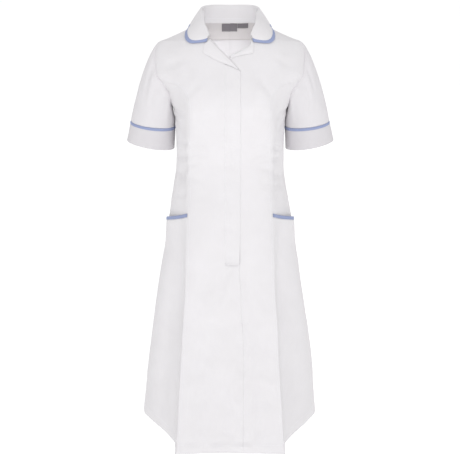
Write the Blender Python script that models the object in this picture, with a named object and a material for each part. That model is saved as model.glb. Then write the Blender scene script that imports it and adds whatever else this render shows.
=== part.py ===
"""A nurse's uniform dress, worn and empty: princess-seamed bodice and A-line skirt, short cuffed sleeves, a rolled
collar over small reveres, a covered front zip and two hip pockets, with blue trim on collar, cuffs and pockets.

The wearer faces -Y, the wearer's left is +X and up is +Z. The origin lies midway between the two shoulder seams'
middles. Sizes are in millimetres and are turned into metres as each mesh is made."""

import math
from collections import namedtuple

import bmesh
import bpy
from mathutils import Vector

MM = 0.001

# Cloth
CLOTH = 1.4
HEM_CLOTH = 2.2
TRIM_CLOTH = 1.8
COLLAR_CLOTH = 2.0
LABEL_CLOTH = 1.0
SEAM_GAP = 0.3

# Levels, measured down from the shoulders
NECK_Z = 20.0
TIP_Z = -27.0
UNDERARM_Z = -180.0
FRONT_HEM_Z = -1030.0
SIDE_HEM_Z = -1010.0
BACK_HEM_Z = -1018.0
SIDE_HEM_BOW = 8.0
SIDE_HEM_SWAY = 9.0

# Armhole: an oval in side view
ARMHOLE_Y = 2.0
ARMHOLE_FRONT = 48.0
ARMHOLE_BACK = 46.0
ARMHOLE_STEPS = 12
PRINCESS_STEP = 7

# Front closure
FRONT_SEAM_X = 22.5
FLY_STITCH_X = -13.0
FLY_EDGE_X = 24.5
FLY_END_Z = -553.0

# Sleeve, cuff and pocket
CUFF_TRIM_WIDTH = 7.0
POCKET_TRIM_WIDTH = 7.5
POCKET_FOOT_Z = -622.0
POCKET_GAPE = 9.5
COLLAR_TRIM_WIDTH = 10.0
COLLAR_ROLL = 2.6

WHITE = (0.87, 0.86, 0.89)
BLUE = (0.30, 0.39, 0.62)
GREY = (0.33, 0.31, 0.30)

# One row for each level of the worn cloth: the centre front, the front panel's edge, the fold behind that edge,
# the side seam and the centre back. crease is 0 where the edge is a smooth seam and 1 where it is a sharp pleat.
Section = namedtuple("Section", "z front edge_x edge_y fold_x fold_y side_x side_y back crease")
SECTIONS = [
    Section(20, -34, 50, -22, 58, -15, 72, 8, 62, 0),
    Section(8, -46, 64, -34, 75, -25, 92, 7, 74, 0),
    Section(-5, -57, 80, -43, 94, -33, 118.5, 6, 84, 0),
    Section(-20, -67, 92, -55, 111, -44, 153, 5, 93, 0),
    Section(-27, -72, 97, -60, 118, -49, 171.5, 5, 97, 0),
    Section(-45, -82, 100, -71, 123, -60, 181, 4, 102, 0),
    Section(-65, -91, 100, -81, 124, -70, 185.5, 3, 107, 0),
    Section(-104, -108, 99, -98, 124, -84, 187, 2, 113, 0),
    Section(-123, -116, 98.5, -106, 122, -87, 175, 2, 115, 0),
    Section(-142, -123, 98, -112, 117, -91, 160, 1, 116, 0),
    Section(-165, -129, 97.5, -116, 112, -95, 148, 0, 115.5, 0),
    Section(-180, -131, 97.5, -117, 110, -97, 143, 0, 115, 0),
    Section(-205, -128, 98, -112, 109, -92, 137, 0, 111, 0),
    Section(-265, -112, 99.5, -92, 109, -74, 133.5, 0, 99, 0),
    Section(-320, -103, 101, -80, 110, -63, 134, 0, 95, 0),
    Section(-380, -110, 102, -88, 112, -71, 141, 0, 112, 0),
    Section(-440, -121, 104, -101, 115, -82, 151, 0, 132, 0.1),
    Section(-510, -129, 106, -114, 116, -92, 164, 4, 147, 0.3),
    Section(-600, -135, 109, -125, 115, -98, 180, 12, 160, 0.6),
    Section(-715, -143, 116.5, -138, 119, -103, 198, 20, 174, 0.9),
    Section(-850, -153, 124, -151, 127, -110, 217, 30, 190, 1),
    Section(-1000, -167, 135, -166, 138, -118, 234, 43, 210, 1),
    Section(-1040, -171, 138, -170.5, 141, -120, 238, 46, 215, 1),
]

# Where each section's named places lie along its girth, from the centre front round to the centre back
EDGE_U, FOLD_U, SIDE_U, BACK_U = 1.0, 1.3, 2.0, 4.0

# Levels of the rows on the princess seam below its curve, down to the hem
EDGE_LEVELS = [-172, -188, -206, -226, -250, -276, -304, -332, -362, -394, -428, -464,
               -502, -545, -592, -643, -697, -753, -811, -868, -924, -978, FRONT_HEM_Z]
# Levels of the rows on the shoulder seam, from the sleeve up to the neck
RIDGE_LEVELS = [-20, -12, -4, 5, 13, NECK_Z]

# The front panels' free edges above the closure: one row for each level, with the two edges' places across
NeckRow = namedtuple("NeckRow", "z right_x left_x")
NECK_ROWS = [
    NeckRow(-93, 21.8, 22), NeckRow(-81, 12.4, 12.6), NeckRow(-69, 2, 2), NeckRow(-57, -10, 6),
    NeckRow(-46, -21, 30), NeckRow(-35, -32, 46), NeckRow(-27, -41, 49), NeckRow(-20, -48, 50),
    NeckRow(-10, -57, 57), NeckRow(1, -64, 64), NeckRow(11, -68.5, 68.5), NeckRow(NECK_Z, -69.5, 69.5),
]
# Levels of the front panels' rows at the centre, from the princess curve up to the break of the reveres
CENTRE_LEVELS = [-162, -152, -142, -132, -122, -108]
# Levels of the back panels' rows at the centre, from the underarm up to the neck
BACK_LEVELS = [-180, -170, -160, -150, -138, -125, -108, -92, -77, -63, -50, -38, -28, -18, -9, 0, 7, 14, NECK_Z]

# Each fold of the worn cloth: its top and foot along the girth and in height, its half-width and how far it stands
Fold = namedtuple("Fold", "u_top z_top u_foot z_foot width stand")
FOLDS = [
    Fold(1.62, -520, 1.60, -1020, 0.16, 5.0),
    Fold(-1.66, -540, -1.62, -1020, 0.15, 4.5),
    Fold(2.45, -480, 2.55, -1020, 0.26, 10.0),
    Fold(-2.50, -500, -2.62, -1020, 0.26, 9.0),
    Fold(3.35, -520, 3.45, -1020, 0.28, 11.0),
    Fold(-3.30, -470, -3.42, -1020, 0.28, 12.0),
    Fold(0.45, -640, 0.52, -1010, 0.16, -3.0),
    Fold(-0.42, -660, -0.50, -1010, 0.17, -3.0),
    Fold(1.75, -300, 1.55, -400, 0.16, -2.5),
    Fold(-1.72, -305, -1.55, -395, 0.16, -2.5),
    Fold(3.05, -205, 3.1, -420, 0.16, -3.5),
    Fold(-3.05, -205, -3.1, -420, 0.16, -3.5),
]


def smoothstep(low, high, value):
    """0 at low, 1 at high and eased between; low may be the greater of the two."""
    t = min(1.0, max(0.0, (value - low) / (high - low)))
    return t * t * (3 - 2 * t)


def monotone(xs, ys, x):
    """A smooth curve through the points that never overshoots them; xs falls."""
    if x >= xs[0]:
        return ys[0]
    if x <= xs[-1]:
        return ys[-1]
    i = next(k for k in range(len(xs) - 1) if x >= xs[k + 1])
    slopes = [(ys[k + 1] - ys[k]) / (xs[k + 1] - xs[k]) for k in range(len(xs) - 1)]

    def slope_at(k):
        if k in (0, len(xs) - 1) or slopes[k - 1] * slopes[k] <= 0:
            return 0.0 if 0 < k < len(xs) - 1 else slopes[min(k, len(slopes) - 1)]
        return 2 * slopes[k - 1] * slopes[k] / (slopes[k - 1] + slopes[k])

    h = xs[i + 1] - xs[i]
    t = (x - xs[i]) / h
    return (ys[i] * (1 + 2 * t) * (1 - t) ** 2 + ys[i + 1] * t * t * (3 - 2 * t)
            + h * slope_at(i) * t * (1 - t) ** 2 - h * slope_at(i + 1) * t * t * (1 - t))


def section_at(z):
    levels = [s.z for s in SECTIONS]
    return Section(z, *(monotone(levels, [s[c] for s in SECTIONS], z) for c in range(1, len(Section._fields))))


def hermite(a, b, slope_a, slope_b, length, t):
    return (a * (1 + 2 * t) * (1 - t) ** 2 + b * t * t * (3 - 2 * t)
            + slope_a * (length * t * (1 - t) ** 2) - slope_b * (length * t * t * (1 - t)))


def girth_point(s, u):
    """The place across and in depth at u along one section, on the wearer's left."""
    ends = [0.0, EDGE_U, FOLD_U, SIDE_U]
    at = [Vector((0, s.front)), Vector((s.edge_x, s.edge_y)), Vector((s.fold_x, s.fold_y)),
          Vector((s.side_x, s.side_y))]
    if u > SIDE_U:
        length = BACK_U - SIDE_U
        round_slope = 1.72 / length
        return hermite(at[3], Vector((0, s.back)), Vector((0, (s.back - s.side_y) * round_slope)),
                       Vector((-s.side_x * round_slope, 0)), length, (u - SIDE_U) / length)
    span = 0 if u < EDGE_U else 1 if u < FOLD_U else 2
    chords = [(at[k + 1] - at[k]) / (ends[k + 1] - ends[k]) for k in range(3)]
    smooth = [(chords[k] * (ends[k + 2] - ends[k + 1]) + chords[k + 1] * (ends[k + 1] - ends[k]))
              / (ends[k + 2] - ends[k]) for k in range(2)]
    starts = [Vector((chords[0].x * 1.08, 0)), smooth[0].lerp(chords[1], s.crease), smooth[1].lerp(chords[2], s.crease)]
    stops = [smooth[0].lerp(chords[0], s.crease), smooth[1].lerp(chords[1], s.crease),
             Vector((0, chords[2].y * 1.5))]
    length = ends[span + 1] - ends[span]
    return hermite(at[span], at[span + 1], starts[span], stops[span], length, (u - ends[span]) / length)


def folds_at(u, z):
    """How far the cloth's folds stand off the smooth form."""
    stand = 0.0
    for f in FOLDS:
        along = (z - f.z_top) / (f.z_foot - f.z_top)
        if along <= 0:
            continue
        centre = f.u_top + (f.u_foot - f.u_top) * min(along, 1.0)
        across = (u - centre) / f.width
        ends = smoothstep(0, 0.6, along) if f.z_foot < -900 else math.sin(math.pi * min(along, 1.0)) ** 2
        stand += f.stand * ends * math.exp(-across * across * 2)
    return stand


def smooth_body(u, z):
    s = section_at(z)
    p = girth_point(s, abs(u))
    return Vector((math.copysign(p.x, u), p.y, z))


def side_normal(u, low, high, z):
    """The smooth form's outward direction, measured between two places along its girth."""
    side = 1 if u >= 0 else -1
    step = 1.5
    across = smooth_body(side * high, z) - smooth_body(side * low, z)
    up = smooth_body(u, min(z + step, NECK_Z)) - smooth_body(u, z - step)
    return (across.cross(up) * side).normalized()


def body_normal(u, z):
    """The outward direction, longer on the front panel's edge so that both walls meet in a mitre there."""
    step = 0.006
    place = abs(u)
    if abs(place - EDGE_U) < 1e-6:
        front, side = side_normal(u, place - step, place, z), side_normal(u, place, place + step, z)
        middle = (front + side).normalized()
        return middle / max(middle.dot(front), 0.4)
    low, high = max(place - step, 0.0), min(place + step, BACK_U)
    if low < EDGE_U < place:
        low = place
    if place < EDGE_U < high:
        high = place
    return side_normal(u, low, high, z)


def body(u, z, lift=0.0):
    """A point of the worn cloth's outer face, in millimetres, moved out by lift."""
    return smooth_body(u, z) + body_normal(u, z) * (folds_at(u, z) + lift)


def search(measure, target, low, high):
    """The value between low and high where a rising measure reaches target."""
    for _ in range(40):
        middle = (low + high) / 2
        low, high = (middle, high) if measure(middle) < target else (low, middle)
    return (low + high) / 2


def u_at_x(x, z):
    s = section_at(z)
    u = search(lambda v: girth_point(s, v).x, abs(x), 0.0, SIDE_U)
    return math.copysign(u, x)


def armhole(step):
    """The oval's point at a step of its half-turn: 0 at the shoulder tip, ARMHOLE_STEPS at the underarm."""
    turn = math.pi * step / ARMHOLE_STEPS
    z = (TIP_Z + UNDERARM_Z) / 2 + (TIP_Z - UNDERARM_Z) / 2 * math.cos(turn)
    return turn, z


def armhole_front(step):
    turn, z = armhole(step)
    if step in (0, ARMHOLE_STEPS):
        return SIDE_U, z
    s = section_at(z)
    depth = s.side_y - ARMHOLE_FRONT * math.sin(turn) * (0.74 - 0.5 * math.cos(turn))
    return search(lambda v: girth_point(s, v).y, depth, EDGE_U, SIDE_U), z


def armhole_back(step):
    turn, z = armhole(step)
    if step in (0, ARMHOLE_STEPS):
        return SIDE_U, z
    s = section_at(z)
    depth = s.side_y + ARMHOLE_BACK * math.sin(turn)
    return search(lambda v: girth_point(s, v).y, depth, SIDE_U, BACK_U), z


# How closely the princess seam's curve keeps to its corner over the bust
CORNER_PULL = 1.5


def princess_curve():
    """The seam's curve from the armhole in over the bust and down, as places along the girth and in height."""
    start_u, start_z = armhole_front(PRINCESS_STEP)
    start = Vector((smooth_body(start_u, start_z).x, start_z))
    foot_z = EDGE_LEVELS[0]
    foot = Vector((section_at(foot_z).edge_x, foot_z))
    pull = Vector((107, -123))
    points = [(start_u, start_z)]
    for t in (0.2, 0.4, 0.6, 0.8):
        weights = ((1 - t) ** 2, CORNER_PULL * 2 * t * (1 - t), t * t)
        p = (start * weights[0] + pull * weights[1] + foot * weights[2]) / sum(weights)
        points.append((u_at_x(p.x, p.y), p.y))
    return points


def mirrored(points):
    return [(-u, z) for u, z in points]


def side_levels():
    """Levels on the side seam, which ends a little higher than the front hem."""
    share = (SIDE_HEM_Z - UNDERARM_Z) / (FRONT_HEM_Z - UNDERARM_Z)
    return [UNDERARM_Z + (z - UNDERARM_Z) * share for z in EDGE_LEVELS[1:]]


def wall_between(left, right, shares, thickness=CLOTH):
    """The outer and inner faces between two boundaries given by places along the girth and in height."""
    outer, inner = [], []
    for row, ((u0, z0), (u1, z1)) in enumerate(zip(left, right)):
        hem = min(z0, z1) < SIDE_HEM_Z + 60
        places = [(u0 + (u1 - u0) * share, z0 + (z1 - z0) * share) for share in shares]
        outer.append([body(u, z) for u, z in places])
        inner.append([body(u, z, -(HEM_CLOTH if hem else thickness)) for u, z in places])
    return outer, inner


def even(count):
    return [step / count for step in range(count + 1)]


def drawn_in(outer, inner, gap, closed=False):
    """Both faces with their edges moved in by gap along the cloth, so that neighbours stay apart at their seams."""
    rows, columns = len(outer), len(outer[0])
    faces = [list(row) for row in outer], [list(row) for row in inner]

    def move(r, c, before, after, inside):
        step = inward(before, after, outer[r][c], inside) * gap
        for face in faces:
            face[r][c] = face[r][c] + step

    for c in range(columns):
        before = (c - 1) % columns if closed else max(c - 1, 0)
        after = (c + 1) % columns if closed else min(c + 1, columns - 1)
        for r, inside in ((0, 1), (rows - 1, rows - 2)):
            move(r, c, outer[r][before], outer[r][after], outer[inside][c])
    for r in range(0 if not closed else rows, rows):
        for c, inside in ((0, 1), (columns - 1, columns - 2)):
            move(r, c, outer[max(r - 1, 0)][c], outer[min(r + 1, rows - 1)][c], outer[r][inside])
    return faces


def inward(before, after, here, inner):
    """The direction from an edge point into the cloth, square to the edge."""
    along = after - before
    into = inner - here
    if along.length > 1e-6:
        along.normalize()
        into = into - along * into.dot(along)
    return into.normalized() if into.length > 1e-6 else into


def material(name, colour, roughness):
    found = bpy.data.materials.get(name)
    if found:
        return found
    made = bpy.data.materials.new(name)
    made.use_nodes = True
    shader = made.node_tree.nodes["Principled BSDF"]
    shader.inputs["Base Color"].default_value = (*colour, 1.0)
    shader.inputs["Roughness"].default_value = roughness
    shader.inputs["Metallic"].default_value = 0.0
    return made


def grid_normals(grid, closed=False):
    """The outward direction at each point of a grid, from its neighbours."""
    rows, columns = len(grid), len(grid[0])
    normals = []
    for r in range(rows):
        line = []
        for c in range(columns):
            before = (c - 1) % columns if closed else max(c - 1, 0)
            after = (c + 1) % columns if closed else min(c + 1, columns - 1)
            across = grid[r][after] - grid[r][before]
            up = grid[min(r + 1, rows - 1)][c] - grid[max(r - 1, 0)][c]
            line.append(across.cross(up).normalized())
        normals.append(line)
    return normals


def moved(grid, normals, distance):
    return [[p + n * distance for p, n in zip(row, line)] for row, line in zip(grid, normals)]


def cloth_object(name, outer, inner, finish, closed=False, gap=SEAM_GAP / 2):
    """A cloth piece: a closed wall of quads between the points of its outer face and of its inner face."""
    outer, inner = drawn_in(outer, inner, gap, closed) if gap else (outer, inner)
    wall = bmesh.new()
    front = [[wall.verts.new(p * MM) for p in row] for row in outer]
    back = [[wall.verts.new(p * MM) for p in row] for row in inner]
    rows, columns = len(outer), len(outer[0])
    for r in range(rows - 1):
        for c in range(columns if closed else columns - 1):
            n = (c + 1) % columns
            wall.faces.new((front[r][c], front[r][n], front[r + 1][n], front[r + 1][c]))
            wall.faces.new((back[r + 1][c], back[r + 1][n], back[r][n], back[r][c]))
    for c in range(columns if closed else columns - 1):
        n = (c + 1) % columns
        wall.faces.new((front[0][n], front[0][c], back[0][c], back[0][n]))
        wall.faces.new((front[-1][c], front[-1][n], back[-1][n], back[-1][c]))
    for r in range(rows - 1 if not closed else 0):
        wall.faces.new((front[r][0], front[r + 1][0], back[r + 1][0], back[r][0]))
        wall.faces.new((front[r + 1][-1], front[r][-1], back[r][-1], back[r + 1][-1]))
    mesh = bpy.data.meshes.new(name)
    wall.to_mesh(mesh)
    wall.free()
    mesh.shade_smooth()
    made = bpy.data.objects.new(name, mesh)
    bpy.context.scene.collection.objects.link(made)
    made.data.materials.append(material(*finish))
    return made


CLOTH_FINISH = ("white_cloth", WHITE, 0.85)
TRIM_FINISH = ("blue_trim", BLUE, 0.75)
LABEL_FINISH = ("grey_label", GREY, 0.8)


def outer_boundary():
    """The front panel's outer edge from the hem up: princess seam, armhole, then shoulder seam."""
    points = [(EDGE_U, z) for z in reversed(EDGE_LEVELS)]
    points += list(reversed(princess_curve()))
    points += [armhole_front(step) for step in range(PRINCESS_STEP - 1, -1, -1)]
    return points + [(SIDE_U, z) for z in RIDGE_LEVELS]


def front_seam_x(z):
    """How far across the centre seam lies: under the fly's edge, and a little further out below the fly."""
    return FRONT_SEAM_X + 4.0 * smoothstep(-565, -625, z) + 6.0 * smoothstep(-660, -750, z)


def centre_boundary(side):
    """A front panel's inner edge from the hem up: front seam, roll of the revere, then neck seam."""
    levels = list(reversed(EDGE_LEVELS)) + CENTRE_LEVELS
    points = [(u_at_x(front_seam_x(z), z), z) for z in levels]
    return points + [(u_at_x(row.right_x if side < 0 else row.left_x, row.z), row.z) for row in NECK_ROWS]


def make_fronts():
    outer = outer_boundary()
    right = wall_between(mirrored(outer), centre_boundary(-1), even(10))
    left = wall_between(centre_boundary(1), outer, even(9))
    cloth_object("front_right", *right, CLOTH_FINISH)
    cloth_object("front_left", *left, CLOTH_FINISH)


# The pocket's mouth: its levels at the princess seam and at the side seam
POCKET_MOUTH = (-434.0, -462.0)
POCKET_SINK = 2.6
SIDE_SHARES = [0.0, 0.14, 0.3, 0.44, 0.58, 0.72, 0.86, 1.0]


def pocket_mouth(share):
    """The level of the pocket's mouth at a share of the way from the princess seam to the side seam."""
    return POCKET_MOUTH[0] + (POCKET_MOUTH[1] - POCKET_MOUTH[0]) * share ** 1.25


def as_drawn(grid, side):
    return grid if side > 0 else [list(reversed(row)) for row in grid]


def make_side_fronts():
    """The panel from the armhole over the bust to the pocket's foot, where it lies behind the side skirt."""
    levels = [z for z in EDGE_LEVELS if z > POCKET_FOOT_Z] + [POCKET_FOOT_Z]
    left = princess_curve() + [(EDGE_U, z) for z in levels]
    right = [armhole_front(step) for step in range(PRINCESS_STEP, ARMHOLE_STEPS + 1)]
    right += [(SIDE_U, z) for z in side_levels() if z > POCKET_FOOT_Z + 20]
    right += [(SIDE_U, POCKET_FOOT_Z)] * (len(left) - len(right))
    blunt = 0.04
    for edge in (left, right):
        (u0, z0), (u1, z1) = edge[0], edge[1]
        edge[0] = (u0 + (u1 - u0) * blunt, z0 + (z1 - z0) * blunt)
    for name, side in (("side_front_right", -1), ("side_front_left", 1)):
        outer, inner = [], []
        for (u0, z0), (u1, z1) in zip(reversed(left), reversed(right)):
            places = [(side * (u0 + (u1 - u0) * share), z0 + (z1 - z0) * share, share) for share in SIDE_SHARES]
            sunk = [POCKET_SINK * smoothstep(-45, -4, pocket_mouth(share) - z) for _, z, share in places]
            outer.append([body(u, z, -s) for (u, z, _), s in zip(places, sunk)])
            inner.append([body(u, z, -s - CLOTH) for (u, z, _), s in zip(places, sunk)])
        cloth_object(name, as_drawn(outer, side), as_drawn(inner, side), CLOTH_FINISH)


def side_hem_rise(share):
    """How far the side skirt's hem rises above a straight line between its two seams."""
    return SIDE_HEM_BOW * math.sin(math.pi * share) - SIDE_HEM_SWAY * math.sin(2 * math.pi * share)


def make_side_skirts():
    """The panel from the pocket's mouth down to the hem, with the mouth's binding along its top."""
    share_of_side = (SIDE_HEM_Z - UNDERARM_Z) / (FRONT_HEM_Z - UNDERARM_Z)
    falls = [POCKET_TRIM_WIDTH, 24, 42, 64]
    levels = [z for z in EDGE_LEVELS if z < -510]
    for name, side in (("right", -1), ("left", 1)):
        for label, drops, thickness, finish in (("pocket_trim_" + name, (0.0, POCKET_TRIM_WIDTH), TRIM_CLOTH,
                                                 TRIM_FINISH),
                                                ("side_skirt_" + name, falls, CLOTH, CLOTH_FINISH)):
            rows = [[pocket_mouth(share) - drop for share in SIDE_SHARES] for drop in drops]
            if finish is CLOTH_FINISH:
                sides = [UNDERARM_Z + (z - UNDERARM_Z) * share_of_side for z in levels]
                rows += [[z0 + (z1 - z0) * share + side_hem_rise(share) * smoothstep(-850, -1030, z0)
                          for share in SIDE_SHARES] for z0, z1 in zip(levels, sides)]
            outer, inner = [], []
            for row in reversed(rows):
                wall = HEM_CLOTH if row[0] < SIDE_HEM_Z + 60 else thickness
                places = [(side * (EDGE_U + (SIDE_U - EDGE_U) * share), z, share) for z, share in zip(row, SIDE_SHARES)]
                lifts = [pocket_gape(share, z) for _, z, share in places]
                outer.append([body(u, z, g + thickness - CLOTH) for (u, z, _), g in zip(places, lifts)])
                inner.append([body(u, z, g - wall + thickness - CLOTH) for (u, z, _), g in zip(places, lifts)])
            cloth_object(label, as_drawn(outer, side), as_drawn(inner, side), finish)


def pocket_gape(share, z):
    """How far the pocket's mouth stands off the hip."""
    return POCKET_GAPE * math.sin(math.pi * share ** 2.7) * (1 - smoothstep(0, 85, pocket_mouth(share) - z))


def make_backs():
    outer = [(SIDE_U, z) for z in reversed(side_levels())]
    outer += [armhole_back(step) for step in range(ARMHOLE_STEPS, -1, -1)]
    outer += [(SIDE_U, z) for z in RIDGE_LEVELS]
    share = (BACK_HEM_Z - UNDERARM_Z) / (SIDE_HEM_Z - UNDERARM_Z)
    centre = [(BACK_U, UNDERARM_Z + (z - UNDERARM_Z) * share) for z in reversed(side_levels())]
    centre += [(BACK_U, z) for z in BACK_LEVELS]
    cloth_object("back_left", *wall_between(outer, centre, even(9)), CLOTH_FINISH)
    cloth_object("back_right", *wall_between(mirrored(centre), mirrored(outer), even(9)), CLOTH_FINISH)


# Rings of the sleeve's end: the middle, the half-widths across and in depth, and the rise across and in depth
Ring = namedtuple("Ring", "x y z half_x half_y rise_x rise_y")
TRIM_RING = Ring(192.0, 17.0, -225.0, 55.5, 47.5, 0.12, 0.17)
CUFF_RING = Ring(200.5, 24.0, -277.5, 60.0, 50.0, 0.18, 0.15)
SLEEVE_COLUMNS = 2 * ARMHOLE_STEPS
SLEEVE_ROWS = 9


def ring_point(ring, turn, side):
    across, deep = ring.half_x * math.cos(turn), -ring.half_y * math.sin(turn)
    return Vector((side * (ring.x + across), ring.y + deep, ring.z + ring.rise_x * across + ring.rise_y * deep))


def mixed_ring(share):
    return Ring(*(a + (b - a) * share for a, b in zip(TRIM_RING, CUFF_RING)))


def armhole_point(column, side):
    place = armhole_front(column) if column <= ARMHOLE_STEPS else armhole_back(SLEEVE_COLUMNS - column)
    return body(side * place[0], place[1])


def sleeve_rows(side):
    """Rings from the armhole down to the cuff's trim; each column leaves the shoulder outwards and ends downwards."""
    grid = []
    for r in range(SLEEVE_ROWS + 1):
        t = r / SLEEVE_ROWS
        ring = []
        for column in range(SLEEVE_COLUMNS):
            turn = math.pi * column / ARMHOLE_STEPS
            upper = (1 + math.cos(turn)) / 2
            close = 1 - 0.95 * (1 - upper) ** 4
            start_slope = Vector((side * (34 + 44 * upper) * close, -16 * math.sin(turn), -14 - 28 * upper))
            end_slope = Vector((side * (6 + 30 * upper), 12, -62 - 128 * upper))
            ring.append(hermite(armhole_point(column, side), ring_point(TRIM_RING, turn, side),
                                start_slope, end_slope, 1.0, t))
        grid.append(ring)
    return grid


def ring_rows(low, high, steps, side):
    return [[ring_point(mixed_ring(low + (high - low) * r / steps), math.pi * c / ARMHOLE_STEPS, side)
             for c in range(SLEEVE_COLUMNS)] for r in range(steps + 1)]


def make_sleeves():
    cuff_length = TRIM_RING.z - CUFF_RING.z
    trim_share = CUFF_TRIM_WIDTH / cuff_length
    for name, side in (("right", -1), ("left", 1)):
        pieces = (("sleeve_" + name, sleeve_rows(side), CLOTH, CLOTH_FINISH, 0.2),
                  ("cuff_trim_" + name, ring_rows(0.0, trim_share, 1, side), TRIM_CLOTH, TRIM_FINISH, 0.2),
                  ("cuff_" + name, ring_rows(trim_share, 1.0, 3, side), CLOTH, CLOTH_FINISH, 0.2))
        for label, grid, thickness, finish, gap in pieces:
            grid = list(reversed(grid))
            if side > 0:
                grid = [list(reversed(row)) for row in grid]
            normals = grid_normals(grid, closed=True)
            cloth_object(label, grid, moved(grid, normals, -thickness), finish, closed=True, gap=gap)


def make_fly():
    """The flap over the zip: from its stitching across to its free edge, a little proud at its lower end."""
    levels = [FLY_END_Z, FLY_END_Z + 12]
    levels += [z for z in reversed(EDGE_LEVELS) if z > FLY_END_Z + 14] + CENTRE_LEVELS
    tops = [(FLY_STITCH_X, -84.0), (FLY_STITCH_X + 12.5, -88.5), (FLY_STITCH_X + 25, -93.0), (FLY_EDGE_X, -97.0)]
    outer, inner = [], []
    for z in levels:
        lift = SEAM_GAP + 0.1 + (1.2 if z == FLY_END_Z else 0.0)
        places = [(u_at_x(x, z), z) for x, _ in tops]
        outer.append([body(u, h, lift + CLOTH) for u, h in places])
        inner.append([body(u, h, lift) for u, h in places])
    places = [(u_at_x(x, z), z) for x, z in tops]
    outer.append([body(u, h, SEAM_GAP + CLOTH + 0.1) for u, h in places])
    inner.append([body(u, h, SEAM_GAP + 0.1) for u, h in places])
    cloth_object("zip_fly", outer, inner, CLOTH_FINISH)


# The reveres' outlines in front view: one row for each place from the collar down to the break
RevereRow = namedtuple("RevereRow", "roll_x roll_z outer_x outer_z")
REVERE_RIGHT = [
    RevereRow(-46, -25, -61.5, -35.5), RevereRow(-41, -30, -62, -44), RevereRow(-32.5, -37.5, -62, -54),
    RevereRow(-22, -48, -47, -63), RevereRow(-10, -60, -31, -71.5), RevereRow(2, -71.5, -13, -78),
    RevereRow(11.5, -82, 3.5, -84.5), RevereRow(19.5, -90.5, 17.5, -91.5),
]
REVERE_LEFT = [
    RevereRow(49, -24, 56, -34.5), RevereRow(48, -29, 55, -44), RevereRow(44.5, -38, 53, -54.5),
    RevereRow(31, -48, 38, -57.5), RevereRow(16, -54, 22, -61), RevereRow(5, -60.5, 7, -65),
]
REVERE_CLOTH = 2.2


def revere_faces(rows):
    """The turned-back facing, close to the panel at its roll and standing a little off at its free edge."""
    outer, inner = [], []
    for row in reversed(rows):
        places = [(row.roll_x + (row.outer_x - row.roll_x) * t, row.roll_z + (row.outer_z - row.roll_z) * t, t)
                  for t in even(4)]
        outer.append([body(u_at_x(x, z), z, SEAM_GAP + REVERE_CLOTH + 0.1 + 1.6 * t) for x, z, t in places])
        inner.append([body(u_at_x(x, z), z, SEAM_GAP + 0.1 + 1.6 * t) for x, z, t in places])
    return outer, inner


def make_reveres():
    for name, rows, side in (("revere_right", REVERE_RIGHT, -1), ("revere_left", REVERE_LEFT, 1)):
        outer, inner = revere_faces(rows)
        cloth_object(name, as_drawn(outer, side), as_drawn(inner, side), CLOTH_FINISH, gap=0)


# The collar: one row for each station from the centre back to the front end. neck_u or neck_x with neck_z gives its
# seam, stand how high it stands, lean how steeply it leaves the cloth in degrees, and edge_u or edge_x with edge_z
# its outer edge, which lies on the shoulders.
CollarRow = namedtuple("CollarRow", "neck_u neck_x neck_z stand lean edge_u edge_x edge_z bulge")
COLLAR = [
    CollarRow(4.0, None, 20, 41, 50, 4.0, None, 4, 9),
    CollarRow(3.62, None, 20, 41, 50, 3.66, None, 3, 9),
    CollarRow(3.2, None, 20, 40, 50, 3.22, None, 2, 9),
    CollarRow(2.72, None, 20, 37, 50, 2.6, None, 2, 7),
    CollarRow(2.2, None, 20, 31, 48, 2.15, None, 4, 3),
    CollarRow(None, 70, 19, 23, 44, None, 99, 2, 2),
    CollarRow(None, 67, 9, 16, 42, None, 106, -10, 3),
    CollarRow(None, 61, -3, 11, 38, None, 104, -24, 5),
    CollarRow(None, 56, -11, 8, 34, None, 93, -32, 5),
    CollarRow(None, 52.5, -15.5, 6, 30, None, 73, -32, 3),
    CollarRow(None, 50, -19, 5, 28, None, 54, -29.5, 1.5),
]
LEAF_STEPS = 7


def neck_place(row):
    return (row.neck_u if row.neck_u is not None else u_at_x(row.neck_x, row.neck_z)), row.neck_z


def neck_directions():
    """The direction of the neck seam at each station, from the centre back to the front end."""
    points = [smooth_body(*neck_place(row)) for row in COLLAR]
    points = [Vector((-points[1].x, points[1].y, points[1].z))] + points + [points[-1] * 2 - points[-2]]
    return [(points[k + 2] - points[k]).normalized() for k in range(len(COLLAR))]


def collar_section(row, along):
    """The collar's middle line at one station, from the neck seam up the stand, over the roll and down the leaf."""
    neck_u, _ = neck_place(row)
    edge_u = row.edge_u if row.edge_u is not None else u_at_x(row.edge_x, row.edge_z)
    height = COLLAR_CLOTH * 0.5 + SEAM_GAP
    neck = body(neck_u, row.neck_z, height)
    edge = body(edge_u, row.edge_z, height + 1.2)
    normal = body_normal(neck_u, row.neck_z).normalized()
    inwards = along.cross(normal).normalized()
    lean = math.radians(row.lean)
    up = inwards * math.cos(lean) + normal * math.sin(lean)
    out = normal * math.cos(lean) - inwards * math.sin(lean)
    centre = neck + up * (row.stand - COLLAR_ROLL) + out * COLLAR_ROLL
    line = [neck, neck.lerp(centre - out * COLLAR_ROLL, 0.5)]
    for turn in (180, 135, 90, 45):
        angle = math.radians(turn)
        line.append(centre + (out * math.cos(angle) + up * math.sin(angle)) * COLLAR_ROLL)
    start = centre + out * COLLAR_ROLL
    pull = start.lerp(edge, 0.45) + normal * row.bulge
    for k in range(LEAF_STEPS + 1):
        t = k / LEAF_STEPS
        line.append(start * (1 - t) ** 2 + pull * (2 * t * (1 - t)) + edge * t * t)
    return line


def cut_line(line, distance):
    """The line cut back by a distance measured from its end."""
    points = list(line)
    while len(points) > 2 and (points[-1] - points[-2]).length < distance:
        distance -= (points[-1] - points[-2]).length
        points.pop()
    reach = (points[-1] - points[-2]).length
    points[-1] = points[-1].lerp(points[-2], distance / reach)
    return points


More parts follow.
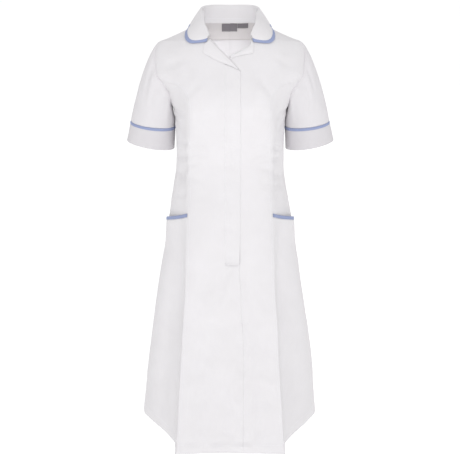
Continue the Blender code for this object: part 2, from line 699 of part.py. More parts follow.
def spread(line, count):
    """The line with its points spread evenly."""
    lengths = [0.0]
    for a, b in zip(line, line[1:]):
        lengths.append(lengths[-1] + (b - a).length)
    points = []
    for k in range(count + 1):
        target = lengths[-1] * k / count
        i = next((n for n in range(1, len(line)) if lengths[n] >= target - 1e-9), len(line) - 1)
        share = (target - lengths[i - 1]) / (lengths[i] - lengths[i - 1])
        points.append(line[i - 1].lerp(line[i], share))
    return points


def both_sides(stations):
    """The stations of one side with their mirror images, from the wearer's right front round to the left front."""
    right = [[Vector((-p.x, p.y, p.z)) for p in line] for line in reversed(stations[1:])]
    return right + stations


def make_collar():
    fold_points = 6
    collar, trim = [], []
    for row, along in zip(COLLAR, neck_directions()):
        line = collar_section(row, along)
        leaf = line[fold_points:]
        trimmed = cut_line(leaf, COLLAR_TRIM_WIDTH)
        collar.append(line[:fold_points] + spread(trimmed, 5))
        trim.append(spread([trimmed[-1]] + leaf[len(trimmed):] if len(trimmed) < len(leaf)
                           else [trimmed[-1], leaf[-1]], 2))
    for name, stations, thickness, finish in (("collar", collar, COLLAR_CLOTH, CLOTH_FINISH),
                                              ("collar_trim", trim, COLLAR_CLOTH + 0.3, TRIM_FINISH)):
        grid = both_sides(stations)
        normals = grid_normals(grid)
        cloth_object(name, moved(grid, normals, thickness / 2), moved(grid, normals, -thickness / 2), finish,
                     gap=0.2)


def inner_patch(name, x_low, x_high, z_low, z_high, lift, thickness, finish, steps, rows):
    """A small piece on the inner face of the back, under the neck."""
    outer, inner = [], []
    for share in even(rows):
        z = z_low + (z_high - z_low) * share
        s = section_at(z)
        across = [x_high + (x_low - x_high) * t for t in even(steps)]
        places = [math.copysign(search(lambda v: -girth_point(s, v).x, -abs(x), SIDE_U, BACK_U), x) for x in across]
        outer.append([body(u, z, -CLOTH - lift) for u in places])
        inner.append([body(u, z, -CLOTH - lift - thickness) for u in places])
    cloth_object(name, outer, inner, finish)


def make_neck_inside():
    """The facing inside the back neck, and the plain label and size tab sewn in at its top."""
    hang = 17.0
    facing_lift = 1.2
    label_lift = facing_lift + CLOTH + 2 * SEAM_GAP
    inner_patch("neck_facing", -64, 64, -21.0, NECK_Z - 0.4, facing_lift, CLOTH, CLOTH_FINISH, 16, 5)
    inner_patch("neck_label", -20.8, 18.1, hang - 18.5, hang, label_lift, LABEL_CLOTH, LABEL_FINISH, 4, 3)
    inner_patch("size_tab", 18.7, 45.8, hang - 10.5, hang, label_lift, LABEL_CLOTH, LABEL_FINISH, 3, 2)


def main():
    for old in list(bpy.data.objects):
        bpy.data.objects.remove(old, do_unlink=True)
    make_fronts()
    make_side_fronts()
    make_side_skirts()
    make_backs()
    make_sleeves()
    make_fly()
    make_reveres()
    make_collar()
    make_neck_inside()


main()
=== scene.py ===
# %% [markdown]
# # A nurse's uniform dress, worn and empty
# The dress hangs as it would on its wearer, with nobody in it. Its cloth is a thin woven polycotton, cut
# in long panels from shoulder to hem, with a pale blue binding on the collar, cuffs and pocket mouths.
# Everything here is cloth, so every piece is a thin sheet laid on one shared form: the shape of the worn
# dress.

# %% Start from the shared frame
import math
from collections import namedtuple

import bmesh
import bpy
from mathutils import Matrix, Vector, noise


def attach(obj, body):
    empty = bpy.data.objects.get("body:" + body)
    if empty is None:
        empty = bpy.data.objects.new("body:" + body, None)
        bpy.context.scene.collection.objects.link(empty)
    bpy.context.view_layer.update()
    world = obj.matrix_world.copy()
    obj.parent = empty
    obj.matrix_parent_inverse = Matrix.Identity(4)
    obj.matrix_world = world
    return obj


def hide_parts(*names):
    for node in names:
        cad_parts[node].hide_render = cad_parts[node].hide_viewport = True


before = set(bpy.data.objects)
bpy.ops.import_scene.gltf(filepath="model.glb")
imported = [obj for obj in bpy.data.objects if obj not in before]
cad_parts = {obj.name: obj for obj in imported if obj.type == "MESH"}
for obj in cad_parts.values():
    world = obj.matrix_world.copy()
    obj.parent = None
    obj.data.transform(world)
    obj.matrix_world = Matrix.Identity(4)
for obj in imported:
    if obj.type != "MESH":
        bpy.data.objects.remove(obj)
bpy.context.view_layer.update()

MM = 0.001

# %% [markdown]
# ## The worn form
# A dress has no straight lines to measure from, so its shape is kept as a table: one row for each height,
# with the centre front, the front panel's edge, the fold behind that edge, the side seam and the centre
# back. Smooth curves join the places round the body and from row to row. A place on the cloth is then two
# numbers: u says how far round it is (0 at the centre front, 1 at the princess seam, 2 at the side, 4 at
# the centre back) and z how high.

# %% The table of sections, in millimetres
Section = namedtuple("Section", "z front edge_x edge_y fold_x fold_y side_x side_y back crease")
SECTIONS = [
    Section(20, -34, 50, -22, 58, -15, 72, 8, 62, 0),
    Section(8, -46, 64, -34, 75, -25, 92, 7, 74, 0),
    Section(-5, -57, 80, -43, 94, -33, 118.5, 6, 84, 0),
    Section(-20, -67, 92, -55, 111, -44, 153, 5, 93, 0),
    Section(-27, -72, 97, -60, 118, -49, 171.5, 5, 97, 0),
    Section(-45, -82, 100, -71, 123, -60, 181, 4, 102, 0),
    Section(-65, -91, 100, -81, 124, -70, 185.5, 3, 107, 0),
    Section(-104, -108, 99, -98, 124, -84, 187, 2, 113, 0),
    Section(-123, -116, 98.5, -106, 122, -87, 175, 2, 115, 0),
    Section(-142, -123, 98, -112, 117, -91, 160, 1, 116, 0),
    Section(-165, -129, 97.5, -116, 112, -95, 148, 0, 115.5, 0),
    Section(-180, -131, 97.5, -117, 110, -97, 143, 0, 115, 0),
    Section(-205, -128, 98, -112, 109, -92, 137, 0, 111, 0),
    Section(-265, -112, 99.5, -92, 109, -74, 133.5, 0, 99, 0),
    Section(-320, -103, 101, -80, 110, -63, 134, 0, 95, 0),
    Section(-380, -110, 102, -88, 112, -71, 141, 0, 112, 0),
    Section(-440, -121, 104, -101, 115, -82, 151, 0, 132, 0.1),
    Section(-510, -129, 106, -114, 116, -92, 164, 4, 147, 0.3),
    Section(-600, -135, 109, -125, 115, -98, 180, 12, 160, 0.6),
    Section(-715, -143, 116.5, -138, 119, -103, 198, 20, 174, 0.9),
    Section(-850, -153, 124, -151, 127, -110, 217, 30, 190, 1),
    Section(-1000, -167, 135, -166, 138, -118, 234, 43, 210, 1),
    Section(-1040, -171, 138, -170.5, 141, -120, 238, 46, 215, 1),
]

# Where each section's named places lie along its girth, from the centre front round to the centre back
EDGE_U, FOLD_U, SIDE_U, BACK_U = 1.0, 1.3, 2.0, 4.0
# How far the girth swells beyond the straight lines between those places; a greater number is rounder
FRONT_ROUND, SIDE_ROUND, BACK_ROUND = 1.08, 1.5, 1.72

# Levels of the seams, measured down from the shoulders
NECK_Z, TIP_Z, UNDERARM_Z = 20.0, -27.0, -180.0
FRONT_HEM_Z, SIDE_HEM_Z, BACK_HEM_Z = -1030.0, -1010.0, -1018.0
SIDE_HEM_BOW, SIDE_HEM_SWAY = 8.0, 9.0


def smoothstep(low, high, value):
    """0 at low, 1 at high and eased between; low may be the greater of the two."""
    t = min(1.0, max(0.0, (value - low) / (high - low)))
    return t * t * (3 - 2 * t)


def monotone(xs, ys, x):
    """A smooth curve through the points that never overshoots them; xs falls."""
    if x >= xs[0]:
        return ys[0]
    if x <= xs[-1]:
        return ys[-1]
    i = next(k for k in range(len(xs) - 1) if x >= xs[k + 1])
    slopes = [(ys[k + 1] - ys[k]) / (xs[k + 1] - xs[k]) for k in range(len(xs) - 1)]

    def slope_at(k):
        if k in (0, len(xs) - 1) or slopes[k - 1] * slopes[k] <= 0:
            return 0.0 if 0 < k < len(xs) - 1 else slopes[min(k, len(slopes) - 1)]
        return 2 * slopes[k - 1] * slopes[k] / (slopes[k - 1] + slopes[k])

    h = xs[i + 1] - xs[i]
    t = (x - xs[i]) / h
    return (ys[i] * (1 + 2 * t) * (1 - t) ** 2 + ys[i + 1] * t * t * (3 - 2 * t)
            + h * slope_at(i) * t * (1 - t) ** 2 - h * slope_at(i + 1) * t * t * (1 - t))


# The sections are worked out once, two to the millimetre, and looked up afterwards
FINE = 2
TABLE_FOOT = -1042
LEVELS = [s.z for s in SECTIONS]
FINE_SECTIONS = [
    [monotone(LEVELS, [s[c] for s in SECTIONS], TABLE_FOOT + step / FINE)
     for c in range(1, len(Section._fields))]
    for step in range(int((NECK_Z - TABLE_FOOT) * FINE) + 2)
]


def section_at(z):
    """The section at any height, between the two nearest worked-out ones."""
    place = max(0.0, min((z - TABLE_FOOT) * FINE, len(FINE_SECTIONS) - 1.001))
    low = int(place)
    share = place - low
    return Section(z, *(a + (b - a) * share for a, b in zip(FINE_SECTIONS[low], FINE_SECTIONS[low + 1])))


def hermite(a, b, slope_a, slope_b, length, t):
    """A curve from a to b that leaves and arrives with the given slopes."""
    return (a * (1 + 2 * t) * (1 - t) ** 2 + b * t * t * (3 - 2 * t)
            + slope_a * (length * t * (1 - t) ** 2) - slope_b * (length * t * t * (1 - t)))


def girth_point(s, u):
    """The place across and in depth at u along one section, on the wearer's left."""
    if u > SIDE_U:
        length = BACK_U - SIDE_U
        round_slope = BACK_ROUND / length
        return hermite(Vector((s.side_x, s.side_y)), Vector((0, s.back)),
                       Vector((0, (s.back - s.side_y) * round_slope)), Vector((-s.side_x * round_slope, 0)),
                       length, (u - SIDE_U) / length)
    ends = [0.0, EDGE_U, FOLD_U, SIDE_U]
    at = [Vector((0, s.front)), Vector((s.edge_x, s.edge_y)), Vector((s.fold_x, s.fold_y)),
          Vector((s.side_x, s.side_y))]
    span = 0 if u < EDGE_U else 1 if u < FOLD_U else 2
    chords = [(at[k + 1] - at[k]) / (ends[k + 1] - ends[k]) for k in range(3)]
    smooth = [(chords[k] * (ends[k + 2] - ends[k + 1]) + chords[k + 1] * (ends[k + 1] - ends[k]))
              / (ends[k + 2] - ends[k]) for k in range(2)]
    starts = [Vector((chords[0].x * FRONT_ROUND, 0)), smooth[0].lerp(chords[1], s.crease),
              smooth[1].lerp(chords[2], s.crease)]
    stops = [smooth[0].lerp(chords[0], s.crease), smooth[1].lerp(chords[1], s.crease),
             Vector((0, chords[2].y * SIDE_ROUND))]
    length = ends[span + 1] - ends[span]
    return hermite(at[span], at[span + 1], starts[span], stops[span], length, (u - ends[span]) / length)


def smooth_body(u, z):
    """A point of the smooth form."""
    p = girth_point(section_at(z), abs(u))
    return Vector((math.copysign(p.x, u), p.y, z))


def side_normal(u, low, high, z):
    """The smooth form's outward direction, measured between two places along its girth."""
    side = 1 if u >= 0 else -1
    step = 1.5
    across = smooth_body(side * high, z) - smooth_body(side * low, z)
    up = smooth_body(u, min(z + step, NECK_Z)) - smooth_body(u, z - step)
    return (across.cross(up) * side).normalized()


def body_normal(u, z):
    """The outward direction, longer on the front panel's edge so that both walls meet in a mitre there."""
    step = 0.006
    place = abs(u)
    if abs(place - EDGE_U) < 1e-6:
        front, side = side_normal(u, place - step, place, z), side_normal(u, place, place + step, z)
        middle = (front + side).normalized()
        return middle / max(middle.dot(front), 0.4)
    low, high = max(place - step, 0.0), min(place + step, BACK_U)
    if low < EDGE_U < place:
        low = place
    if place < EDGE_U < high:
        high = place
    return side_normal(u, low, high, z)


print("Sections:", len(SECTIONS), "rows, worked out at", len(FINE_SECTIONS), "heights")

# %% [markdown]
# ## Folds and creases
# Light cloth never lies perfectly smooth. Long soft folds hang in the skirt, the waist is rumpled where
# the wearer bends, and short troughs pull at the closure and the armholes. Each fold is one row of a
# table, so it can be moved or deepened on its own. A fold is highest at its middle line and dips a little
# on either side of it, which is what keeps it from looking like a dent. A trace of smooth noise stands
# for the rest.

# %% Long folds of the skirt and short creases, each a row
Fold = namedtuple("Fold", "u_top z_top u_foot z_foot width stand")
FOLDS = [
    Fold(1.62, -520, 1.60, -1020, 0.16, 5.0),
    Fold(-1.66, -540, -1.62, -1020, 0.15, 4.5),
    Fold(2.45, -480, 2.55, -1020, 0.26, 10.0),
    Fold(-2.50, -500, -2.62, -1020, 0.26, 9.0),
    Fold(3.35, -520, 3.45, -1020, 0.28, 11.0),
    Fold(-3.30, -470, -3.42, -1020, 0.28, 12.0),
    Fold(0.45, -640, 0.52, -1010, 0.16, -3.0),
    Fold(-0.42, -660, -0.50, -1010, 0.17, -3.0),
    Fold(1.75, -300, 1.55, -400, 0.16, -2.5),
    Fold(-1.72, -305, -1.55, -395, 0.16, -2.5),
    Fold(3.05, -205, 3.1, -420, 0.16, -3.5),
    Fold(-3.05, -205, -3.1, -420, 0.16, -3.5),
]
# u is counted round the body as above; widths and depths are in millimetres, and a trough's depth is negative
Crease = namedtuple("Crease", "u0 z0 u1 z1 width depth")
CREASES = [
    # Waist, the wearer's right
    Crease(-0.96, -262, -0.52, -276, 9, -1.3), Crease(-0.98, -291, -0.40, -288, 10, -1.5),
    Crease(-0.95, -318, -0.62, -309, 8, -1.2), Crease(-0.98, -346, -0.55, -352, 11, -1.2),
    Crease(-1.06, -268, -1.72, -262, 10, -2.0), Crease(-1.08, -296, -1.85, -301, 11, -2.4),
    Crease(-1.05, -328, -1.60, -336, 10, -1.8), Crease(-1.20, -352, -1.90, -340, 12, -1.8),
    Crease(-1.10, -386, -1.70, -398, 12, -1.3),
    # Waist, the wearer's left
    Crease(0.96, -270, 0.58, -262, 9, -1.2), Crease(0.97, -298, 0.45, -306, 10, -1.4),
    Crease(0.94, -330, 0.60, -322, 9, -1.1), Crease(0.97, -360, 0.66, -368, 11, -1.0),
    Crease(1.06, -276, 1.80, -284, 11, -2.2), Crease(1.05, -306, 1.70, -300, 10, -2.2),
    Crease(1.08, -338, 1.85, -350, 12, -1.9), Crease(1.12, -372, 1.65, -366, 11, -1.3),
    # Short pulls across the fly
    Crease(-0.24, -246, 0.20, -258, 8, -0.9), Crease(-0.20, -276, 0.22, -270, 8, -0.9),
    Crease(-0.22, -316, 0.16, -324, 9, -0.7), Crease(-0.26, -395, 0.12, -388, 10, -0.7),
    Crease(-0.20, -462, 0.18, -470, 10, -0.7),
    # Below the end of the fly, spreading down
    Crease(-0.06, -566, -0.34, -668, 13, -1.6), Crease(0.26, -562, 0.50, -676, 14, -1.6),
    Crease(0.02, -572, -0.10, -640, 10, 1.0), Crease(-0.30, -590, -0.62, -640, 14, -1.1),
    Crease(0.46, -600, 0.78, -660, 14, -1.1),
    # Down the front of the skirt
    Crease(-0.55, -700, -0.66, -940, 18, -1.6), Crease(0.58, -690, 0.70, -930, 18, -1.6),
    Crease(-0.20, -820, -0.24, -1020, 16, -1.4), Crease(0.08, -800, 0.04, -1020, 14, 1.2),
    Crease(0.42, -850, 0.46, -1025, 15, 1.5), Crease(-0.80, -860, -0.84, -1025, 15, 1.4),
    # Along the hem
    Crease(-0.34, -1004, 0.00, -997, 6, -1.8), Crease(0.05, -998, 0.40, -1005, 6, -1.9),
    Crease(-0.30, -1017, 0.36, -1013, 6, 1.3), Crease(-0.12, -968, -0.02, -994, 8, -1.6),
    Crease(0.24, -952, 0.16, -992, 8, -1.7), Crease(-0.48, -975, -0.40, -1008, 9, 1.4),
    Crease(0.54, -962, 0.50, -1006, 9, -1.4), Crease(-0.46, -1030, 0.48, -1030, 16, -2.8),
    Crease(-0.80, -1000, -0.55, -1006, 8, -1.3), Crease(0.60, -1004, 0.82, -998, 8, -1.2),
    # Broad soft folds low in the skirt
    Crease(-0.86, -862, -0.42, -838, 20, 1.9), Crease(0.92, -856, 0.52, -834, 20, 1.9),
    Crease(-0.80, -904, -0.36, -892, 20, -1.6), Crease(0.88, -900, 0.46, -888, 20, -1.6),
    Crease(-0.12, -884, 0.10, -936, 18, -1.6), Crease(-0.60, -768, -0.24, -800, 18, -1.4),
    Crease(0.44, -742, 0.80, -776, 18, -1.4), Crease(-0.44, -700, 0.04, -712, 18, -1.2),
    # Puckers along the centre seam
    Crease(0.18, -694, 0.36, -704, 6, -0.9), Crease(0.16, -728, 0.40, -722, 6, 0.8),
    Crease(0.16, -752, 0.38, -760, 7, -1.0), Crease(0.18, -786, 0.42, -780, 6, 0.9),
    Crease(0.14, -812, 0.36, -822, 7, -0.9), Crease(0.12, -846, 0.34, -838, 7, 0.8),
    # Chest, shoulders and bust
    Crease(-0.98, -150, -0.60, -112, 12, -1.2), Crease(0.98, -150, 0.64, -108, 12, -1.2),
    Crease(-1.55, -84, -1.05, -66, 12, -1.2), Crease(1.52, -86, 1.02, -60, 12, -1.2),
    Crease(-0.80, -196, -0.38, -206, 14, -0.9), Crease(0.82, -200, 0.44, -190, 14, -0.9),
    # Under the arms
    Crease(-1.98, -186, -1.35, -200, 10, -2.0), Crease(-1.96, -204, -1.50, -232, 11, -1.8),
    Crease(1.98, -188, 1.38, -206, 10, -2.0), Crease(1.95, -210, 1.55, -238, 11, -1.7),
    # Hips and side skirts
    Crease(-1.30, -520, -1.36, -760, 16, -2.2), Crease(-1.70, -560, -1.82, -900, 18, 2.4),
    Crease(-1.42, -700, -1.30, -1010, 15, 2.0), Crease(-1.55, -840, -1.60, -1012, 14, -2.4),
    Crease(1.32, -510, 1.40, -740, 16, -2.2), Crease(1.74, -590, 1.86, -890, 18, 2.4),
    Crease(1.46, -720, 1.34, -1010, 15, 2.0), Crease(1.60, -820, 1.58, -1012, 14, -2.4),
    # Hidden sides: the back's waist, blades and skirt
    Crease(-2.10, -262, -2.80, -276, 11, -2.2), Crease(-2.30, -300, -3.20, -292, 12, -2.4),
    Crease(-2.15, -334, -2.90, -346, 12, -2.0), Crease(-3.10, -322, -3.92, -330, 12, -1.5),
    Crease(2.12, -270, 2.90, -260, 11, -2.2), Crease(2.25, -312, 3.10, -320, 12, -2.4),
    Crease(2.20, -350, 2.85, -340, 12, -1.8), Crease(3.15, -296, 3.94, -304, 12, -1.5),
    Crease(-3.80, -110, -3.10, -160, 16, -1.4), Crease(3.82, -104, 3.15, -170, 16, -1.4),
    Crease(-2.70, -700, -2.80, -1015, 20, -2.8), Crease(-3.05, -620, -3.10, -1015, 20, 2.6),
    Crease(-3.72, -600, -3.70, -1015, 20, -2.4), Crease(2.80, -660, 2.95, -1015, 20, -2.8),
    Crease(3.14, -720, 3.05, -1015, 18, 2.6), Crease(3.70, -560, 3.74, -1015, 20, -2.2),
]
GIRTH_STEP = 108.0
# How deep the rows' creases come out, and how deep the two kinds of noise are, in millimetres
CREASE_DEPTH, BROAD_DEPTH, SMALL_DEPTH = 1.9, 2.3, 0.55


def folds_at(u, z):
    """How far the skirt's long folds stand off the smooth form."""
    stand = 0.0
    for f in FOLDS:
        along = (z - f.z_top) / (f.z_foot - f.z_top)
        if along <= 0:
            continue
        centre = f.u_top + (f.u_foot - f.u_top) * min(along, 1.0)
        across = (u - centre) / f.width
        ends = smoothstep(0, 0.6, along) if f.z_foot < -900 else math.sin(math.pi * min(along, 1.0)) ** 2
        stand += f.stand * ends * math.exp(-across * across * 2)
    return stand


def ridge(distance, width):
    """A fold's profile: high on its middle line, dipping on either side, flat further out."""
    d = distance / width
    return (1 - 0.55 * d * d) * math.exp(-d * d)


def creases_at(u, z):
    """How far the short creases stand off at a place, with the faint unevenness of the cloth."""
    total = 0.0
    for c in CREASES:
        if abs(z - (c.z0 + c.z1) / 2) > abs(c.z0 - c.z1) / 2 + 3 * c.width:
            continue
        run = Vector(((c.u1 - c.u0) * GIRTH_STEP, c.z1 - c.z0))
        off = Vector(((u - c.u0) * GIRTH_STEP, z - c.z0))
        along = off.dot(run) / run.length_squared
        held = min(1.0, max(0.0, along))
        distance = (off - run * held).length
        if distance > 3 * c.width:
            continue
        fade = smoothstep(-0.25, 0.3, along) * smoothstep(1.25, 0.55, along)
        total += c.depth * fade * ridge(distance, c.width)
    here = Vector((u * GIRTH_STEP, z, 7.0))
    broad = noise.noise(Vector((here.x * 0.016, here.y * 0.009, 3.1)))
    small = noise.noise(Vector((here.x * 0.047, here.y * 0.034, 8.6)))
    return total * CREASE_DEPTH + broad * BROAD_DEPTH + small * SMALL_DEPTH


def cloth(u, z, lift=0.0):
    """A point of the dress's outer face in millimetres, folds and creases with it, moved out by lift."""
    return smooth_body(u, z) + body_normal(u, z) * (folds_at(u, z) + creases_at(u, z) + lift)


print("Folds:", len(FOLDS), "long,", len(CREASES), "short")

# %% [markdown]
# ## Finding the seams on the form
# The seams are lines of places (u, z): levels down the princess seam, an oval armhole, a curve over the
# bust and the edge of the neck. Some are known by how far across they lie, so a small search turns that
# into u.

# %% Levels, the armhole's oval and the princess curve
ARMHOLE_FRONT, ARMHOLE_BACK = 48.0, 46.0
ARMHOLE_SCOOP, ARMHOLE_DROP = 0.74, 0.5
ARMHOLE_STEPS, PRINCESS_STEP = 12, 7
FRONT_SEAM_X = 22.5
PRINCESS_CORNER, CORNER_PULL = (107, -123), 1.5
FLY_STITCH_X, FLY_EDGE_X, FLY_END_Z = -13.0, 24.5, -553.0
EDGE_LEVELS = [-172, -188, -206, -226, -250, -276, -304, -332, -362, -394, -428, -464,
               -502, -545, -592, -643, -697, -753, -811, -868, -924, -978, FRONT_HEM_Z]
RIDGE_LEVELS = [-20, -12, -4, 5, 13, NECK_Z]
# The front panels' free edges above the closure: one row for each level, with the two edges' places across
NeckRow = namedtuple("NeckRow", "z right_x left_x")
NECK_ROWS = [
    NeckRow(-93, 21.8, 22), NeckRow(-81, 12.4, 12.6), NeckRow(-69, 2, 2), NeckRow(-57, -10, 6),
    NeckRow(-46, -21, 30), NeckRow(-35, -32, 46), NeckRow(-27, -41, 49), NeckRow(-20, -48, 50),
    NeckRow(-10, -57, 57), NeckRow(1, -64, 64), NeckRow(11, -68.5, 68.5), NeckRow(NECK_Z, -69.5, 69.5),
]
CENTRE_LEVELS = [-162, -152, -142, -132, -122, -108]
BACK_LEVELS = [-180, -170, -160, -150, -138, -125, -108, -92, -77, -63, -50, -38, -28, -18, -9, 0, 7, 14,
               NECK_Z]


def search(measure, target, low, high):
    """The value between low and high where a rising measure reaches target."""
    for _ in range(28):
        middle = (low + high) / 2
        low, high = (middle, high) if measure(middle) < target else (low, middle)
    return (low + high) / 2


def u_at_x(x, z):
    """The place round the front half that lies x across."""
    s = section_at(z)
    return math.copysign(search(lambda v: girth_point(s, v).x, abs(x), 0.0, SIDE_U), x)


def u_of_back(x, z):
    """The place round the back half that lies x across."""
    s = section_at(z)
    return math.copysign(search(lambda v: -girth_point(s, v).x, -abs(x), SIDE_U, BACK_U), x)


def armhole(step):
    """A place on the armhole: step 0 is the shoulder tip, 12 the underarm at the front, 24 the tip again."""
    turn = math.pi * step / ARMHOLE_STEPS
    z = (TIP_Z + UNDERARM_Z) / 2 + (TIP_Z - UNDERARM_Z) / 2 * math.cos(turn)
    s = section_at(z)
    reach = math.sin(turn)
    if abs(reach) < 1e-6:
        return SIDE_U, z
    if reach > 0:
        depth = s.side_y - ARMHOLE_FRONT * reach * (ARMHOLE_SCOOP - ARMHOLE_DROP * math.cos(turn))
        return search(lambda v: girth_point(s, v).y, depth, EDGE_U, SIDE_U), z
    return search(lambda v: girth_point(s, v).y, s.side_y - ARMHOLE_BACK * reach, SIDE_U, BACK_U), z


def princess_curve(steps):
    """The seam's curve from the armhole in over the bust and down to its straight run."""
    start_u, start_z = armhole(PRINCESS_STEP)
    start = Vector((smooth_body(start_u, start_z).x, start_z))
    foot = Vector((section_at(EDGE_LEVELS[0]).edge_x, EDGE_LEVELS[0]))
    pull = Vector(PRINCESS_CORNER)
    points = [(start_u, start_z)]
    for k in range(1, steps + 1):
        t = k / steps
        weights = ((1 - t) ** 2, CORNER_PULL * 2 * t * (1 - t), t * t)
        p = (start * weights[0] + pull * weights[1] + foot * weights[2]) / sum(weights)
        points.append((u_at_x(p.x, p.y) if k < steps else EDGE_U, p.y))
    return points


def filled(points, steps):
    """The line with each of its stretches cut into equal steps."""
    line = [points[0]]
    for a, b in zip(points, points[1:]):
        line += [(a[0] + (b[0] - a[0]) * k / steps, a[1] + (b[1] - a[1]) * k / steps)
                 for k in range(1, steps + 1)]
    return line


def armhole_line(first, last, steps):
    """Places along the armhole from one step to another."""
    count = round(abs(last - first) * steps)
    return [armhole(first + (last - first) * k / count) for k in range(count + 1)]


def joined(*lines):
    """Lines that share their end points, as one."""
    whole = list(lines[0])
    for line in lines[1:]:
        whole += line[1:]
    return whole


def mirrored(line):
    return [(-u, z) for u, z in line]


def side_level(z):
    """The side seam's level for a level of the princess seam; the side hem ends a little higher."""
    return UNDERARM_Z + (z - UNDERARM_Z) * (SIDE_HEM_Z - UNDERARM_Z) / (FRONT_HEM_Z - UNDERARM_Z)


FINE_STEPS = 8
print("Armhole round, in millimetres: %.0f" % sum(
    (smooth_body(*a) - smooth_body(*b)).length
    for a, b in zip(armhole_line(0, 24, 2), armhole_line(0, 24, 2)[1:])))

# %% [markdown]
# ## Cutting a panel
# A panel starts as a flat grid, as cloth does, and every point of it is then laid on the form between two
# seams. The grid is finer beside the seams, where the cloth turns in to its seam allowance and leaves a
# narrow valley. At the hem the grid goes on past the fold and up again inside, as a real turned-up hem
# does. The grid's own length along and across, in metres, becomes its UV map, so that the weave runs with
# the cloth.

# %% A grid of points becomes a thin sheet of cloth
SEAM_DISTANCES = [0.0, 0.04, 0.5, 1.5, 3.4, 7.0]
SEAM_LIFTS = [-1.5, -0.45, -0.29, -0.13, -0.03, 0.0]
HEM_TURN = [(23.0, -2.3), (12.0, -2.3), (1.2, -2.2), (-0.2, -1.7), (-0.5, -1.1), (-0.2, -0.4), (1.0, 0.0)]
CLOTH_THICKNESS, LINING_THICKNESS, BINDING_THICKNESS = 0.9, 0.7, 0.35
cut_sizes = {}


def cut_size(rows):
    """The flat size of a grid in metres: its longest row, its longest column and its whole area."""
    columns = list(zip(*rows))
    width = max(sum((b - a).length for a, b in zip(row, row[1:])) for row in rows)
    length = max(sum((b - a).length for a, b in zip(column, column[1:])) for column in columns)
    area = 0.0
    for low, high in zip(rows, rows[1:]):
        for a, b, c, d in zip(low, low[1:], high[1:], high):
            area += (c - a).cross(d - b).length / 2
    return width * MM, length * MM, area * MM * MM


def laid_sheet(name, rows, finish, thickness=CLOTH_THICKNESS, closed=False, offset=-1.0):
    """A grid laid on rows of points, given a cloth's thickness and smooth shading."""
    high, wide = len(rows), len(rows[0])
    grid = bmesh.new()
    uv = grid.loops.layers.uv.new("Cloth")
    bmesh.ops.create_grid(grid, x_segments=wide - 1, y_segments=high - 1, size=1.0)
    across = [[0.0] for _ in rows]
    for r, row in enumerate(rows):
        for a, b in zip(row, row[1:]):
            across[r].append(across[r][-1] + (b - a).length)
    middle = wide // 2
    up = [0.0]
    for a, b in zip(rows, rows[1:]):
        up.append(up[-1] + (b[middle] - a[middle]).length)
    place = {}
    for v in grid.verts:
        c, r = round((v.co.x + 1) / 2 * (wide - 1)), round((v.co.y + 1) / 2 * (high - 1))
        place[v] = (c, r)
    for face in grid.faces:
        for loop in face.loops:
            c, r = place[loop.vert]
            loop[uv].uv = ((across[r][c] - across[r][middle]) * MM, up[r] * MM)
    for v, (c, r) in place.items():
        v.co = rows[r][c] * MM
    if closed:
        bmesh.ops.remove_doubles(grid, verts=grid.verts, dist=1e-6)
    cut_sizes[name] = cut_size(rows)
    return finished(name, grid, finish, thickness, offset)


def finished(name, shape, finish, thickness, offset):
    """A bmesh becomes a piece of the dress, riding on its one body."""
    mesh = bpy.data.meshes.new(name)
    shape.to_mesh(mesh)
    shape.free()
    mesh.shade_smooth()
    piece = bpy.data.objects.new(name, mesh)
    bpy.context.scene.collection.objects.link(piece)
    piece.data.materials.append(finish)
    wall = piece.modifiers.new("Cloth thickness", "SOLIDIFY")
    wall.thickness = thickness * MM
    wall.offset = offset
    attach(piece, "root")
    return piece


def seam_columns(a, b, inner, left_seam=True, right_seam=True):
    """Shares across a row from a to b, dense beside a seam, each with how far the cloth is let in there."""
    (u0, z0), (u1, z1) = a, b
    points = [smooth_body(u0 + (u1 - u0) * k / 6, z0 + (z1 - z0) * k / 6) for k in range(7)]
    width = max(0.01, sum((q - p).length for p, q in zip(points, points[1:])))
    scale = min(1.0, width / 45.0)
    edge = [d * scale / width for d in SEAM_DISTANCES]
    reach = edge[-1]
    middle = [reach + (1 - 2 * reach) * k / inner for k in range(1, inner)]
    lifts = [s * scale for s in SEAM_LIFTS]
    left = [(share, lift if left_seam else 0.0) for share, lift in zip(edge, lifts)]
    right = [(1 - share, lift if right_seam else 0.0) for share, lift in zip(edge, lifts)]
    return left + [(share, 0.0) for share in middle] + list(reversed(right))


def panel_rows(left, right, inner, hem=True, left_seam=True, right_seam=True, sink=None):
    """Rows of points between two seams, from the hem up; sink lets the cloth in behind another piece."""
    rows = []
    for k, (a, b) in enumerate(zip(left, right)):
        columns = seam_columns(a, b, inner, left_seam, right_seam)
        places = [(a[0] + (b[0] - a[0]) * share, a[1] + (b[1] - a[1]) * share, lift)
                  for share, lift in columns]
        if k == 0 and hem:
            for rise, turn in HEM_TURN[:-1]:
                rows.append([cloth(u, z + rise, turn + lift * 0.3) for u, z, lift in places])
        else:
            rows.append([cloth(u, z, lift - (sink(u, z) if sink else 0.0)) for u, z, lift in places])
    return rows


print("Seam valley:", SEAM_DISTANCES[-1], "mm wide and", -SEAM_LIFTS[1], "mm deep before the cloth turns in")

# %% [markdown]
# ## Finishes
# Shader maths reads best when it is written as sums. The class below wraps one socket of a node, and an
# expression such as `1 - mask * 0.4` adds the Math nodes for it. A finish owns its material and makes any
# other node.

